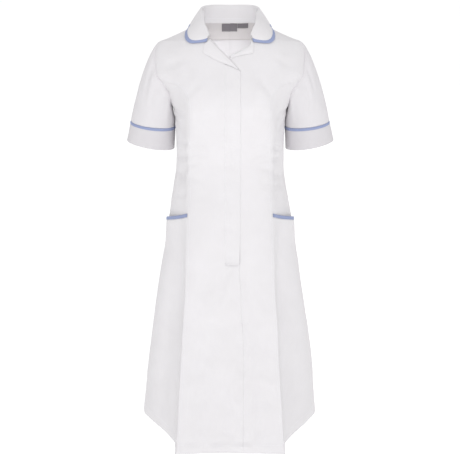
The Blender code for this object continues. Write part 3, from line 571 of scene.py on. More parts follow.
# %% Writing shader maths as sums
class Wire:
    """One output socket of a finish's node tree, which Python's operators work on."""

    def __init__(self, finish, socket):
        self.finish, self.socket = finish, socket

    def maths(self, operation, first, second=None):
        values = {0: first} if second is None else {0: first, 1: second}
        return self.finish.node("ShaderNodeMath", {"operation": operation}, values)

    def __add__(self, other):
        return self.maths("ADD", self, other)

    __radd__ = __add__

    def __sub__(self, other):
        return self.maths("SUBTRACT", self, other)

    def __rsub__(self, other):
        return self.maths("SUBTRACT", other, self)

    def __mul__(self, other):
        return self.maths("MULTIPLY", self, other)

    __rmul__ = __mul__

    def sine(self):
        return self.maths("SINE", self)

    def size(self):
        return self.maths("ABSOLUTE", self)


class Finish:
    """A procedural material: its shader, and a way to add nodes to it."""

    def __init__(self, name, colour, roughness, sheen=0.0):
        self.material = bpy.data.materials.new(name)
        self.material.use_nodes = True
        self.tree = self.material.node_tree
        self.shader = self.tree.nodes["Principled BSDF"]
        self.shader.inputs["Base Color"].default_value = (*colour, 1.0)
        self.shader.inputs["Roughness"].default_value = roughness
        self.shader.inputs["Sheen Weight"].default_value = sheen
        self.shader.inputs["Sheen Roughness"].default_value = 0.45
        self.shader.inputs["Specular IOR Level"].default_value = 0.25

    def put(self, value, socket):
        if isinstance(value, Wire):
            self.tree.links.new(value.socket, socket)
        else:
            socket.default_value = value

    def node(self, kind, settings=None, values=None, output=0):
        """Adds a node: its settings first, then the values or links of its sockets."""
        made = self.tree.nodes.new(kind)
        for key, value in (settings or {}).items():
            setattr(made, key, value)
        for key, value in (values or {}).items():
            self.put(value, made.inputs[key])
        return Wire(self, made.outputs[output])

    def feed(self, socket, value):
        self.put(value, self.shader.inputs[socket])

    def blend(self, share, first, second):
        """One colour laid over another by share."""
        return self.node("ShaderNodeMix", {"data_type": "RGBA"}, {0: share, 6: first, 7: second}, output=2)

    def places(self):
        """Object coordinates, and the cloth's own length and width in metres."""
        around = self.node("ShaderNodeTexCoord", output=3)
        flat = self.node("ShaderNodeUVMap", {"uv_map": "Cloth"})
        split = self.tree.nodes.new("ShaderNodeSeparateXYZ")
        self.tree.links.new(flat.socket, split.inputs[0])
        return around, Wire(self, split.outputs[0]), Wire(self, split.outputs[1])

    def bump(self, height, strength, distance):
        """Feeds a height to the shader's normal."""
        self.feed("Normal", self.node("ShaderNodeBump", values={"Strength": strength, "Distance": distance,
                                                                "Height": height}))


def clouds(finish, place, scale, detail=2.0):
    """Smooth noise between 0 and 1."""
    return finish.node("ShaderNodeTexNoise", values={"Vector": place, "Scale": scale, "Detail": detail})


print("Shader sums are ready")

# %% [markdown]
# ### White polycotton, pale blue binding and a woven label
# The dress cloth is a plain weave: each thread goes over one and under the next, so its height is a
# chequer of two sine waves. Its white is slightly violet and it has hardly any shine. It is a little
# greyer in soft clouds: partly the cloth's own uneven tone, partly painted shade for the shading of small
# folds. The sleeves and the doubled cuffs are painted a shade greyer, as painted shade for the light that
# falls off towards the sides. The neck facing is a little duller, and painted darker and a little warmer
# as painted shade under the collar. Slubs, the thicker places in a thread, run along the weave. The
# binding is cut on the bias, so its weave runs at 45 degrees.

# %% The finishes
THREAD = 0.00046
SLUB_SCALE = 320.0


def woven(name, light, shade, roughness, thread=THREAD, bias=False, sheen=0.12, depth=0.00010):
    """A plain-woven cloth whose colour wanders in soft clouds between light and painted shade."""
    finish = Finish(name, light, roughness, sheen)
    around, width, length = finish.places()
    across, along = (width + length, width - length) if bias else (width, length)
    pull = 2 * math.pi / (2 * thread * (1.414 if bias else 1.0))
    weave = (across * pull).sine() * (along * pull).sine()
    # Painted shade: soft clouds darken the colour towards shade, partly the cloth's own uneven tone and
    # partly painted shade for the shading of small folds; the same clouds also vary the roughness.
    painted_shade_clouds = clouds(finish, around, 7.0, 3.0) * 0.5 + clouds(finish, around, 26.0, 2.0) * 0.5
    stretched = finish.node("ShaderNodeMapping", values={"Vector": around, "Scale": (1.0, 1.0, 0.06)})
    slub = clouds(finish, stretched, SLUB_SCALE, 1.0)
    # pale is the cloth's colour with its painted shade, mixed by the clouds above.
    pale = finish.blend(painted_shade_clouds, (*light, 1.0), (*shade, 1.0))
    threads = finish.blend(weave.size() * 0.10 + slub * 0.10, pale, (*[v * 0.86 for v in shade], 1.0))
    finish.feed("Base Color", threads)
    finish.feed("Roughness", painted_shade_clouds * 0.10 + (roughness - 0.05))
    finish.bump(weave * 0.5 + slub * 0.5, 0.5, depth)
    return finish.material


white_cloth = woven("White polycotton", (0.755, 0.742, 0.763), (0.675, 0.658, 0.672), 0.86)
# Painted shade: the sleeves are a darker copy of the white cloth, standing for the light that falls off
# towards the sides.
white_sleeves_painted_shade = woven("White polycotton, sleeves, painted shade", (0.695, 0.680, 0.702), (0.66, 0.643, 0.66), 0.86)
# Painted shade: the doubled cuffs are a darker copy again, for the same fall-off of light at the sides.
white_cuffs_painted_shade = woven("White polycotton, cuffs, painted shade", (0.64, 0.622, 0.648), (0.605, 0.588, 0.606), 0.86)
# Painted shade: the neck facing is painted darker and a little warmer than the dress cloth, for the shade
# under the collar.
facing_cloth = woven("Neck facing, painted shade", (0.625, 0.60, 0.603), (0.59, 0.565, 0.567), 0.9)
blue_binding = woven("Pale blue binding", (0.31, 0.355, 0.535), (0.255, 0.30, 0.48), 0.72, bias=True)
label_weave = woven("Grey woven label", (0.20, 0.185, 0.20), (0.16, 0.15, 0.165), 0.7, thread=0.0003)
thread_white = Finish("White sewing thread", (0.80, 0.80, 0.84), 0.55, 0.2).material
thread_blue = Finish("Blue sewing thread", (0.27, 0.32, 0.50), 0.55, 0.2).material
print("Finishes:", len(bpy.data.materials))

# %% [markdown]
# ## The long front panels
# Each front is one piece from the shoulder to the hem. Its outer edge is the princess seam, then the
# front of the armhole, then the shoulder seam; its inner edge is the centre seam and, above the closure,
# the roll of the revere.

# %% Front panels
def outer_line():
    return joined(filled([(EDGE_U, z) for z in reversed(EDGE_LEVELS)], FINE_STEPS),
                  list(reversed(princess_curve(5 * FINE_STEPS))),
                  armhole_line(PRINCESS_STEP, 0, FINE_STEPS),
                  filled([(SIDE_U, TIP_Z)] + [(SIDE_U, z) for z in RIDGE_LEVELS], FINE_STEPS))


def front_seam_x(z):
    """How far across the centre seam lies: under the fly's edge, and a little further out below the fly."""
    return FRONT_SEAM_X + 4.0 * smoothstep(-565, -625, z) + 6.0 * smoothstep(-660, -750, z)


def centre_line(side):
    levels = filled([(0, z) for z in list(reversed(EDGE_LEVELS)) + CENTRE_LEVELS], FINE_STEPS)
    seam = [(u_at_x(front_seam_x(z), z), z) for _, z in levels]
    roll = [(row.right_x if side < 0 else row.left_x, row.z) for row in NECK_ROWS]
    start = (FRONT_SEAM_X, CENTRE_LEVELS[-1])
    neck = [(u_at_x(x, z), z) for x, z in filled([start] + roll, FINE_STEPS)]
    return joined(seam, neck)


def matched(a, b):
    """Two seams of a panel have to have the same number of places; says so if they do not."""
    if len(a) != len(b):
        raise ValueError("seams of %d and %d places" % (len(a), len(b)))
    return a, b


left_outer, left_centre = matched(outer_line(), centre_line(1))
front_left = laid_sheet("front_left_cloth", panel_rows(left_centre, left_outer, 22), white_cloth)
right_centre = centre_line(-1)
front_right = laid_sheet("front_right_cloth", panel_rows(mirrored(left_outer), right_centre, 30), white_cloth)
for piece, node in ((front_left, "front_left"), (front_right, "front_right")):
    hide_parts(node)
print("Front panels:", len(front_left.data.polygons) + len(front_right.data.polygons), "faces")

# %% [markdown]
# ## The side fronts and side skirts
# Beside the front lies a shaped panel from the armhole to the pocket's foot, and over its lower end the
# side skirt, whose bound top edge is the pocket's mouth. The mouth stands off the hip, and the side front
# sinks in behind it.

# %% Side fronts
POCKET_MOUTH = (-434.0, -462.0)
POCKET_SINK, POCKET_GAPE, POCKET_FOOT_Z = 1.7, 9.5, -622.0
POCKET_TRIM_WIDTH = 7.5
# The mouth's stretch of the side skirt, which has closer rows, and the rows above and below its foot
POCKET_REACH, POCKET_STEPS, SKIRT_STEPS = 90.0, 14, 60


def pocket_mouth(share):
    """The level of the pocket's mouth at a share of the way from the princess seam to the side seam."""
    return POCKET_MOUTH[0] + (POCKET_MOUTH[1] - POCKET_MOUTH[0]) * share ** 1.25


def pocket_gape(share, z):
    """How far the pocket's mouth stands off the hip."""
    return POCKET_GAPE * math.sin(math.pi * share ** 2.7) * (1 - smoothstep(0, 85, pocket_mouth(share) - z))


def behind_pocket(u, z):
    """How far the side front sinks in behind the pocket."""
    share = min(1.0, max(0.0, abs(u) - EDGE_U))
    return POCKET_SINK * smoothstep(-45, -4, pocket_mouth(share) - z)


def side_front_seams():
    levels = [z for z in EDGE_LEVELS if z > POCKET_FOOT_Z] + [POCKET_FOOT_Z]
    inner = joined(princess_curve(5 * FINE_STEPS), filled([(EDGE_U, z) for z in levels], FINE_STEPS))
    sides = [z for z in map(side_level, EDGE_LEVELS[1:]) if z > POCKET_FOOT_Z + 20]
    sides += [POCKET_FOOT_Z]
    outer = joined(armhole_line(PRINCESS_STEP, ARMHOLE_STEPS, FINE_STEPS),
                   filled([(SIDE_U, z) for z in [UNDERARM_Z] + sides], FINE_STEPS))
    short = len(inner) - len(outer)
    if short > 0:
        top, foot = outer[-1 - FINE_STEPS], outer[-1]
        outer = outer[:-1 - FINE_STEPS] + filled([top, foot], FINE_STEPS + short)
    return matched(list(reversed(inner)), list(reversed(outer)))


side_inner, side_outer = side_front_seams()
for name, side in (("right", -1), ("left", 1)):
    seams = (side_inner, side_outer) if side > 0 else (mirrored(side_outer), mirrored(side_inner))
    rows = panel_rows(*seams, 18, hem=False, sink=behind_pocket)
    piece = laid_sheet("side_front_%s_cloth" % name, rows, white_cloth)
    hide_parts("side_front_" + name)
print("Side fronts: from the armhole to", POCKET_FOOT_Z, "mm")

# %% [markdown]
# ### Side skirts
# The side skirt's top edge isn't level: it falls from the princess seam towards the side. So its rows
# aren't taken from a seam but worked out at each share across, from the mouth to the hem, with closer
# rows where the mouth gapes.

# %% Side skirts, with the pocket's mouth along their tops
def side_skirt_columns():
    """Shares across the side skirt, dense beside its seams, each with how far the cloth is let in."""
    return seam_columns((EDGE_U, -700.0), (SIDE_U, -700.0), 18)


def side_skirt_levels(share):
    """Levels down the side skirt at one share across it, from its binding to the hem."""
    mouth = pocket_mouth(share)
    hem = FRONT_HEM_Z + (SIDE_HEM_Z - FRONT_HEM_Z) * share
    levels = [mouth - POCKET_TRIM_WIDTH - POCKET_REACH * (k / POCKET_STEPS) ** 1.2
              for k in range(POCKET_STEPS + 1)]
    foot = levels[-1]
    levels += [foot + (hem - foot) * k / SKIRT_STEPS for k in range(1, SKIRT_STEPS + 1)]
    rise = SIDE_HEM_BOW * math.sin(math.pi * share) - SIDE_HEM_SWAY * math.sin(2 * math.pi * share)
    return [z + rise * smoothstep(-850, -1030, z) for z in levels]


for name, side in (("right", -1), ("left", 1)):
    columns = side_skirt_columns()
    if side < 0:
        columns = list(reversed(columns))
    levels = [side_skirt_levels(share) for share, _ in columns]
    rows = []
    for rise, turn in HEM_TURN[:-1]:
        rows.append([cloth(side * (EDGE_U + share), column[-1] + rise, turn + lift * 0.3)
                     for (share, lift), column in zip(columns, levels)])
    for k in range(len(levels[0]) - 2, -1, -1):
        rows.append([cloth(side * (EDGE_U + share), column[k], lift + pocket_gape(share, column[k]))
                     for (share, lift), column in zip(columns, levels)])
    piece = laid_sheet("side_skirt_%s_cloth" % name, rows, white_cloth)
    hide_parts("side_skirt_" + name)
print("Side skirts: pocket mouths stand off the hip by up to", POCKET_GAPE, "mm")

# %% [markdown]
# ## The back
# Two panels joined down the centre back. The photograph does not show them, so they are cut plainly: no
# yoke and no belt, only the shaping that the waist needs.

# %% Back panels
def back_outer_line():
    sides = [side_level(z) for z in EDGE_LEVELS[1:]]
    return joined(filled([(SIDE_U, z) for z in reversed([UNDERARM_Z] + sides)], FINE_STEPS),
                  armhole_line(ARMHOLE_STEPS, 2 * ARMHOLE_STEPS, FINE_STEPS),
                  filled([(SIDE_U, TIP_Z)] + [(SIDE_U, z) for z in RIDGE_LEVELS], FINE_STEPS))


def back_centre_line():
    share = (BACK_HEM_Z - UNDERARM_Z) / (SIDE_HEM_Z - UNDERARM_Z)
    low = [UNDERARM_Z + (side_level(z) - UNDERARM_Z) * share for z in reversed(EDGE_LEVELS[1:])]
    return filled([(BACK_U, z) for z in low + BACK_LEVELS], FINE_STEPS)


back_outer, back_centre = matched(back_outer_line(), back_centre_line())
back_seams = {"left": (back_outer, back_centre), "right": (mirrored(back_centre), mirrored(back_outer))}
for name, seams in back_seams.items():
    piece = laid_sheet("back_%s_cloth" % name, panel_rows(*seams, 28), white_cloth)
    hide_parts("back_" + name)
print("Back panels:", len(back_outer), "rows each")

# %% [markdown]
# ## Sleeves
# A short set-in sleeve leaves the armhole along the shoulder and ends hanging down. It is a tube: each of
# its lengthwise lines starts square to the armhole and arrives at the cuff's ring with its own slope.
# Only the seam under the arm closes it, so the grid starts there. The ring is tilted, because the sleeve
# is longer over the arm.

# %% Sleeves
Ring = namedtuple("Ring", "x y z half_x half_y rise_x rise_y")
TRIM_RING = Ring(192.0, 17.0, -225.0, 55.5, 47.5, 0.12, 0.17)
CUFF_RING = Ring(200.5, 24.0, -277.5, 60.0, 50.0, 0.18, 0.15)
CUFF_TRIM_WIDTH = 7.0
TUBE_COLUMNS, SLEEVE_ROWS = 120, 54
ARM_RADIUS = 52.0
# Turns are in degrees from the top of the arm towards the front; shares run from the armhole to the binding
SLEEVE_CREASES = [
    Crease(76, 0.03, 60, 0.62, 8, -2.2), Crease(104, 0.04, 84, 0.78, 9, -2.0),
    Crease(92, 0.06, 73, 0.72, 8, 1.6), Crease(132, 0.05, 118, 0.9, 8, -1.4),
    Crease(48, 0.30, 38, 0.95, 12, -1.0), Crease(20, 0.05, 14, 0.55, 14, -0.9),
    Crease(-30, 0.08, -44, 0.8, 13, -1.2), Crease(-72, 0.04, -66, 0.85, 11, -1.9),
    Crease(-96, 0.05, -88, 0.8, 10, 1.5), Crease(-118, 0.05, -110, 0.9, 10, -1.7),
    Crease(62, 0.70, 92, 0.86, 9, -0.9), Crease(12, 0.72, 46, 0.80, 10, -0.8),
]


def ring_point(ring, turn, side):
    across, deep = ring.half_x * math.cos(turn), -ring.half_y * math.sin(turn)
    height = ring.z + ring.rise_x * across + ring.rise_y * deep
    return Vector((side * (ring.x + across), ring.y + deep, height))


def mixed_ring(share):
    return Ring(*(a + (b - a) * share for a, b in zip(TRIM_RING, CUFF_RING)))


def tube_columns():
    """Turns round a tube from the seam under the arm back to it, each with how far the cloth is let in."""
    reach = SEAM_DISTANCES[-1] / ARM_RADIUS
    edge = [d / ARM_RADIUS for d in SEAM_DISTANCES]
    middle = [reach + (2 * math.pi - 2 * reach) * k / TUBE_COLUMNS for k in range(1, TUBE_COLUMNS)]
    columns = list(zip(edge, SEAM_LIFTS)) + [(turn, 0.0) for turn in middle]
    columns += [(2 * math.pi - turn, lift) for turn, lift in reversed(list(zip(edge, SEAM_LIFTS)))]
    return [(math.pi + turn, lift * 0.5) for turn, lift in columns]


def sleeve_point(turn, share, side):
    """A point of the smooth sleeve."""
    step = (turn / math.pi * ARMHOLE_STEPS) % (2 * ARMHOLE_STEPS)
    u, z = armhole(step)
    upper = (1 + math.cos(turn)) / 2
    close = 1 - 0.95 * (1 - upper) ** 4
    start = Vector((side * (34 + 44 * upper) * close, -16 * math.sin(turn), -14 - 28 * upper))
    stop = Vector((side * (6 + 30 * upper), 12, -62 - 128 * upper))
    hole = smooth_body(side * u, z)
    return hermite(hole, ring_point(TRIM_RING, turn, side), start, stop, 1.0, share)


def sleeve_crease(turn, share, side):
    """How far the sleeve's creases stand off; the two sleeves are not quite alike."""
    total = 0.0
    for c in SLEEVE_CREASES:
        shift = 0.0 if side < 0 else 6.0 * math.sin(c.u0)
        around = (math.degrees(turn) - c.u0 - shift + 180) % 360 - 180
        run = Vector(((c.u1 - c.u0) * 0.9, (c.z1 - c.z0) * 130))
        off = Vector((around * 0.9, (share - c.z0) * 130))
        along = off.dot(run) / run.length_squared
        distance = (off - run * min(1.0, max(0.0, along))).length
        if distance < 3 * c.width:
            fade = smoothstep(-0.2, 0.3, along)
            total += c.depth * fade * smoothstep(1.2, 0.5, along) * ridge(distance, c.width)
    here = Vector((math.cos(turn) * 2.4 + side * 9, math.sin(turn) * 2.4, share * 2.6))
    return total + noise.noise(here) * 1.1


def facing_out(grid, side):
    """Rings listed from the top down become rows from the foot up, wound so that the faces point outwards."""
    rows = list(reversed(grid))
    return [list(reversed(row)) for row in rows] if side > 0 else rows


def ring_normals(ring, columns, share, place, side):
    """The direction away from the arm at each place of a ring; it holds where the cloth doubles back too."""
    count = len(ring) - 1
    middle = sum(ring[:count], Vector()) / count
    normals = []
    for c, (turn, _) in enumerate(columns[:count]):
        across = ring[(c + 1) % count] - ring[(c - 1) % count]
        down = place(turn, share + 0.01, side) - place(turn, share - 0.01, side)
        away = across.cross(down).normalized()
        normals.append(away if away.dot(ring[c] - middle) > 0 else -away)
    return normals + normals[:1]


def tube(name, side, shares, place, lift, finish, sewn_to_body=False):
    """A tube of cloth round the arm: place gives its smooth form, lift how far each place stands off it."""
    columns = tube_columns()
    rings = [[place(turn, share, side) for turn, _ in columns] for share, _ in shares]
    for ring in rings:
        ring[-1] = ring[0]
    normals = [ring_normals(ring, columns, share, place, side) for ring, (share, _) in zip(rings, shares)]
    if sewn_to_body:
        turned_in(normals, columns, shares, side)
    rows = []
    for ring, line, (share, down) in zip(rings, normals, shares):
        rows.append([p + n * (lift(turn, share) + seam + down)
                     for p, n, (turn, seam) in zip(ring, line, columns)])
    return laid_sheet(name, facing_out(rows, side), finish, closed=True)


def turned_in(normals, columns, shares, side):
    """At the armhole the sleeve turns in along with the body's cloth, so that no gap is left between them."""
    line = []
    for turn, _ in columns:
        u, z = armhole((turn / math.pi * ARMHOLE_STEPS) % (2 * ARMHOLE_STEPS))
        line.append(body_normal(side * u, z).normalized())
    for row, (share, _) in zip(normals, shares):
        if share < 0.02:
            row[:] = [n.lerp(b, 1 - share / 0.02).normalized() for n, b in zip(row, line)]


SLEEVE_TOP = [(0.0, -1.5), (0.0003, -0.45), (0.004, -0.29), (0.012, -0.13), (0.026, -0.03), (0.05, 0.0)]
SLEEVE_FOOT = [(0.985, 0.0), (0.994, -0.25), (1.0, -0.9)]
sleeve_middle = [(0.05 + 0.935 * k / SLEEVE_ROWS, 0.0) for k in range(1, SLEEVE_ROWS)]
sleeve_shares = SLEEVE_TOP + sleeve_middle + SLEEVE_FOOT
for name, side in (("right", -1), ("left", 1)):
    sleeve = tube("sleeve_%s_cloth" % name, side, sleeve_shares, sleeve_point,
                  lambda turn, share: sleeve_crease(turn, share, side), white_sleeves_painted_shade, True)
    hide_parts("sleeve_" + name)
print("Sleeves:", len(sleeve.data.vertices), "places each")

# %% [markdown]
# ### Turned-back cuffs and their binding
# The cuff goes down outside, folds at its lower edge and goes up again inside, so its edge is round and
# two layers thick. The binding is a narrow strip over the join of cuff and sleeve, with both of its long
# edges turned under.

# %% Cuffs and cuff bindings
CUFF_INSIDE = [(0.30, -3.0), (0.60, -3.0), (0.93, -2.9), (0.985, -2.6), (1.0, -1.7), (1.003, -1.0),
               (1.0, -0.35), (0.99, 0.0)]
BINDING_SECTION = [(0.10, -1.5), (0.0, -1.2), (0.03, -0.2), (0.08, 0.32), (0.18, 0.55), (0.35, 0.66),
                   (0.5, 0.7), (0.65, 0.66), (0.82, 0.55), (0.92, 0.32), (0.97, -0.2), (1.0, -1.2),
                   (0.90, -1.5)]


def cuff_point(turn, share, side):
    return ring_point(mixed_ring(share), turn, side)


def cuff_wave(turn, share, side):
    """The cuff is stiffer than the sleeve: it only dents a little."""
    here = Vector((math.cos(turn) * 1.7 - side * 5, math.sin(turn) * 1.7, share * 0.8))
    return noise.noise(here) * 1.8 * smoothstep(0.0, 0.6, share)


trim_share = CUFF_TRIM_WIDTH / (TRIM_RING.z - CUFF_RING.z)
cuff_shares = [(trim_share - 0.02, -0.9), (trim_share, -0.3)]
cuff_shares += [(trim_share + (0.99 - trim_share) * k / 16, 0.0) for k in range(1, 16)]
cuff_shares += list(reversed(CUFF_INSIDE))
binding_shares = [(trim_share * t, rise) for t, rise in BINDING_SECTION]
for name, side in (("right", -1), ("left", 1)):
    cuff = tube("cuff_%s_cloth" % name, side, cuff_shares, cuff_point,
                lambda turn, share: cuff_wave(turn, share, side), white_cuffs_painted_shade)
    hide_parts("cuff_" + name)
    binding = tube("cuff_binding_" + name, side, binding_shares, cuff_point,
                   lambda turn, share: cuff_wave(turn, share, side), blue_binding)
    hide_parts("cuff_trim_" + name)
print("Cuff depth below the binding, in millimetres: %.0f" % ((1 - trim_share) * (TRIM_RING.z - CUFF_RING.z)))

# %% [markdown]
# ## The collar
# The collar rises from the neck seam as a stand, rolls over and comes down as the leaf, which lies on the
# shoulders. Each station round the neck has its own section: how high the stand is, how steeply it leaves
# the cloth and where the leaf ends. Between the stations a smooth curve is drawn through every one of
# those numbers.

# %% The collar's stations
COLLAR_CLOTH, COLLAR_ROLL, COLLAR_TRIM_WIDTH = 2.0, 2.6, 10.0
SEAM_GAP = 0.3
# The collar: one row for each station from the centre back to the front end. neck_u or neck_x with neck_z
# gives its seam, stand how high it stands, lean how steeply it leaves the cloth in degrees, and edge_u or
# edge_x with edge_z its outer edge, which lies on the shoulders.
CollarRow = namedtuple("CollarRow", "neck_u neck_x neck_z stand lean edge_u edge_x edge_z bulge")
COLLAR = [
    CollarRow(4.0, None, 20, 41, 50, 4.0, None, 4, 9),
    CollarRow(3.62, None, 20, 41, 50, 3.66, None, 3, 9),
    CollarRow(3.2, None, 20, 40, 50, 3.22, None, 2, 9),
    CollarRow(2.72, None, 20, 37, 50, 2.6, None, 2, 7),
    CollarRow(2.2, None, 20, 31, 48, 2.15, None, 4, 3),
    CollarRow(None, 70, 19, 23, 44, None, 99, 2, 2),
    CollarRow(None, 67, 9, 16, 42, None, 106, -10, 3),
    CollarRow(None, 61, -3, 11, 38, None, 104, -24, 5),
    CollarRow(None, 56, -11, 8, 34, None, 93, -32, 5),
    CollarRow(None, 52.5, -15.5, 6, 30, None, 73, -32, 3),
    CollarRow(None, 50, -19, 5, 28, None, 54, -29.5, 1.5),
]
COLLAR_STEPS = 9
STAND_STEPS, ROLL_STEPS, LEAF_STEPS = 14, 9, 30


def through(rows, steps):
    """A smooth curve through rows of numbers, with steps between one row and the next."""
    rows = [[float(v) for v in row] for row in rows]
    before = [2 * a - b for a, b in zip(rows[0], rows[1])]
    after = [2 * a - b for a, b in zip(rows[-1], rows[-2])]
    ends = [before] + rows + [after]
    curve = []
    for k in range(1, len(ends) - 2):
        for step in range(steps):
            t = step / steps
            curve.append([0.5 * (2 * b + (c - a) * t + (2 * a - 5 * b + 4 * c - d) * t * t
                                 + (3 * b - a - 3 * c + d) * t ** 3)
                          for a, b, c, d in zip(*ends[k - 1:k + 3])])
    return curve + [rows[-1]]


Station = namedtuple("Station", "neck_u neck_z stand lean edge_u edge_z bulge")
station_rows = []
for row in COLLAR:
    neck_u = row.neck_u if row.neck_u is not None else u_at_x(row.neck_x, row.neck_z)
    edge_u = row.edge_u if row.edge_u is not None else u_at_x(row.edge_x, row.edge_z)
    station_rows.append([neck_u, row.neck_z, row.stand, row.lean, edge_u, row.edge_z, row.bulge])
STATIONS = [Station(*numbers) for numbers in through(station_rows, COLLAR_STEPS)]
print("Collar stations:", len(STATIONS), "on each side of the centre back")


# %% [markdown]
# ### From the neck seam over the roll
# A collar's section is a hook: a straight stand, half a turn of roll and a long, slightly bowed leaf. It
# is drawn at each station and the grid joins them. The same sections also give the binding, which takes
# over where the leaf is cut back.

# %% The collar's section, from the neck seam over the roll to the leaf's edge
def neck_directions():
    """The direction of the neck seam at each station, from the centre back to the front end."""
    points = [smooth_body(row.neck_u, row.neck_z) for row in STATIONS]
    points = [Vector((-points[1].x, points[1].y, points[1].z))] + points + [points[-1] * 2 - points[-2]]
    return [(points[k + 2] - points[k]).normalized() for k in range(len(STATIONS))]


def collar_section(row, along):
    """The collar's middle line at one station."""
    height = COLLAR_CLOTH * 0.5 + SEAM_GAP
    normal = body_normal(row.neck_u, row.neck_z).normalized()
    neck = smooth_body(row.neck_u, row.neck_z) + normal * height
    edge = smooth_body(row.edge_u, row.edge_z) + body_normal(row.edge_u, row.edge_z) * (height + 1.2)
    inwards = along.cross(normal).normalized()
    lean = math.radians(row.lean)
    up = inwards * math.cos(lean) + normal * math.sin(lean)
    out = normal * math.cos(lean) - inwards * math.sin(lean)
    centre = neck + up * (row.stand - COLLAR_ROLL) + out * COLLAR_ROLL
    line = [neck - up * 3.2 - out * 0.6]
    line += [neck.lerp(centre - out * COLLAR_ROLL, k / STAND_STEPS) for k in range(STAND_STEPS)]
    for k in range(ROLL_STEPS):
        angle = math.pi * (1 - k / ROLL_STEPS)
        line.append(centre + (out * math.cos(angle) + up * math.sin(angle)) * COLLAR_ROLL)
    start = centre + out * COLLAR_ROLL
    pull = start.lerp(edge, 0.45) + normal * row.bulge
    leaf = [start * (1 - t) ** 2 + pull * (2 * t * (1 - t)) + edge * t * t
            for t in [k / LEAF_STEPS for k in range(LEAF_STEPS + 1)]]
    return line, leaf


def spread(line, count):
    """The line with its points spread evenly."""
    lengths = [0.0]
    for a, b in zip(line, line[1:]):
        lengths.append(lengths[-1] + (b - a).length)
    points = []
    for k in range(count + 1):
        target = lengths[-1] * k / count
        i = next((n for n in range(1, len(line)) if lengths[n] >= target - 1e-9), len(line) - 1)
        share = (target - lengths[i - 1]) / max(1e-9, lengths[i] - lengths[i - 1])
        points.append(line[i - 1].lerp(line[i], share))
    return points


def cut_back(line, distance):
    """The line cut at a distance from its end, and the rest of it."""
    length = sum((b - a).length for a, b in zip(line, line[1:]))
    fine = spread(line, 120)
    keep = round(120 * max(0.05, 1 - distance / length))
    return fine[:keep + 1], fine[keep:]


def both_sides(stations):
    """The stations of one side and their mirror images, from the wearer's right front to the left front."""
    right = [[Vector((-p.x, p.y, p.z)) for p in line] for line in reversed(stations[1:])]
    return right + stations


def strip_normals(rows):
    """The direction each place of an open grid faces, measured from its neighbours."""
    normals = []
    for r, row in enumerate(rows):
        upper, lower = rows[min(r + 1, len(rows) - 1)], rows[max(r - 1, 0)]
        last = len(row) - 1
        normals.append([(row[min(c + 1, last)] - row[max(c - 1, 0)]).cross(upper[c] - lower[c]).normalized()
                        for c in range(last + 1)])
    return normals


stand_rows, band_rows = [], []
for row, along in zip(STATIONS, neck_directions()):
    stand, leaf = collar_section(row, along)
    leaf_kept, _ = cut_back(leaf, COLLAR_TRIM_WIDTH - 2.0)
    _, band = cut_back(leaf, COLLAR_TRIM_WIDTH)
    stand_rows.append(stand + spread(leaf_kept, 24))
    band_rows.append(spread(band, 12))
collar_rows = both_sides(stand_rows)
band_rows = both_sides(band_rows)
collar = laid_sheet("collar_cloth", collar_rows, white_cloth, thickness=COLLAR_CLOTH,
                    offset=0.0)
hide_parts("collar")
print("Collar:", len(collar_rows), "stations of", len(collar_rows[0]), "places")

# %% [markdown]
# ### The collar's binding
# A bias strip is folded in half over the raw edge and sewn through. It shows as a narrow border on top
# and again underneath, so the strip here goes out along the upper face, round the edge and back along the
# lower one.

# %% The collar's binding, folded over the leaf's edge
BAND_TOP = [0.9, 1.25, 1.42, 1.5, 1.5, 1.48, 1.46, 1.44, 1.42, 1.4, 1.3, 1.0, 0.5]


def wrapped(rows):
    """A strip that lies on the outer face, goes round the edge and comes back on the inner face."""
    normals = strip_normals(rows)
    wrapped_rows = []
    for row, line in zip(rows, normals):
        top = [p + n * h for p, n, h in zip(row, line, BAND_TOP)]
        under = [p - n * h * 0.9 for p, n, h in zip(row, line, BAND_TOP)]
        out = (row[-1] - row[-2]).normalized()
        wrapped_rows.append(top + [row[-1] + out * 0.45] + list(reversed(under[2:])))
    return wrapped_rows


collar_binding = laid_sheet("collar_binding", wrapped(band_rows), blue_binding,
                            thickness=BINDING_THICKNESS)
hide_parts("collar_trim")
print("Collar binding: %.0f mm wide on the leaf" % COLLAR_TRIM_WIDTH)

# %% [markdown]
# ## The reveres
# The top of each front is faced and turned back on itself below the collar, which makes the two small
# reveres. The facing lies over the panel with a soft roll along the fold and a stitched outer edge. The
# wearer's right one is on top, and both ends meet the collar.

# %% Reveres
# The reveres' outlines in front view: one row for each place from the collar down to the break
RevereRow = namedtuple("RevereRow", "roll_x roll_z outer_x outer_z")
REVERE_RIGHT = [
    RevereRow(-46, -25, -61.5, -35.5), RevereRow(-41, -30, -62, -44), RevereRow(-32.5, -37.5, -62, -54),
    RevereRow(-22, -48, -47, -63), RevereRow(-10, -60, -31, -71.5), RevereRow(2, -71.5, -13, -78),
    RevereRow(11.5, -82, 3.5, -84.5), RevereRow(19.5, -90.5, 17.5, -91.5),
]
REVERE_LEFT = [
    RevereRow(49, -24, 56, -34.5), RevereRow(48, -29, 55, -44), RevereRow(44.5, -38, 53, -54.5),
    RevereRow(31, -48, 38, -57.5), RevereRow(16, -54, 22, -61), RevereRow(-1, -62.5, 1.5, -66.5),
]
REVERE_STEPS, REVERE_COLUMNS = 7, 20
# How far the facing lies above the form, how high it rolls at its fold and how much lower it gets by its edge
REVERE_BASE, REVERE_ROLL, REVERE_FALL = 0.9, 2.3, 1.7
REVERE_LIFTS = [(0.0, -1.3), (0.004, -0.2), (0.02, 0.9), (0.05, 1.7), (0.10, 2.15), (0.18, 2.3)]
REVERE_EDGE = [(0.90, 0.6), (0.96, 0.5), (0.985, 0.3), (0.997, -0.1), (1.0, -0.8)]


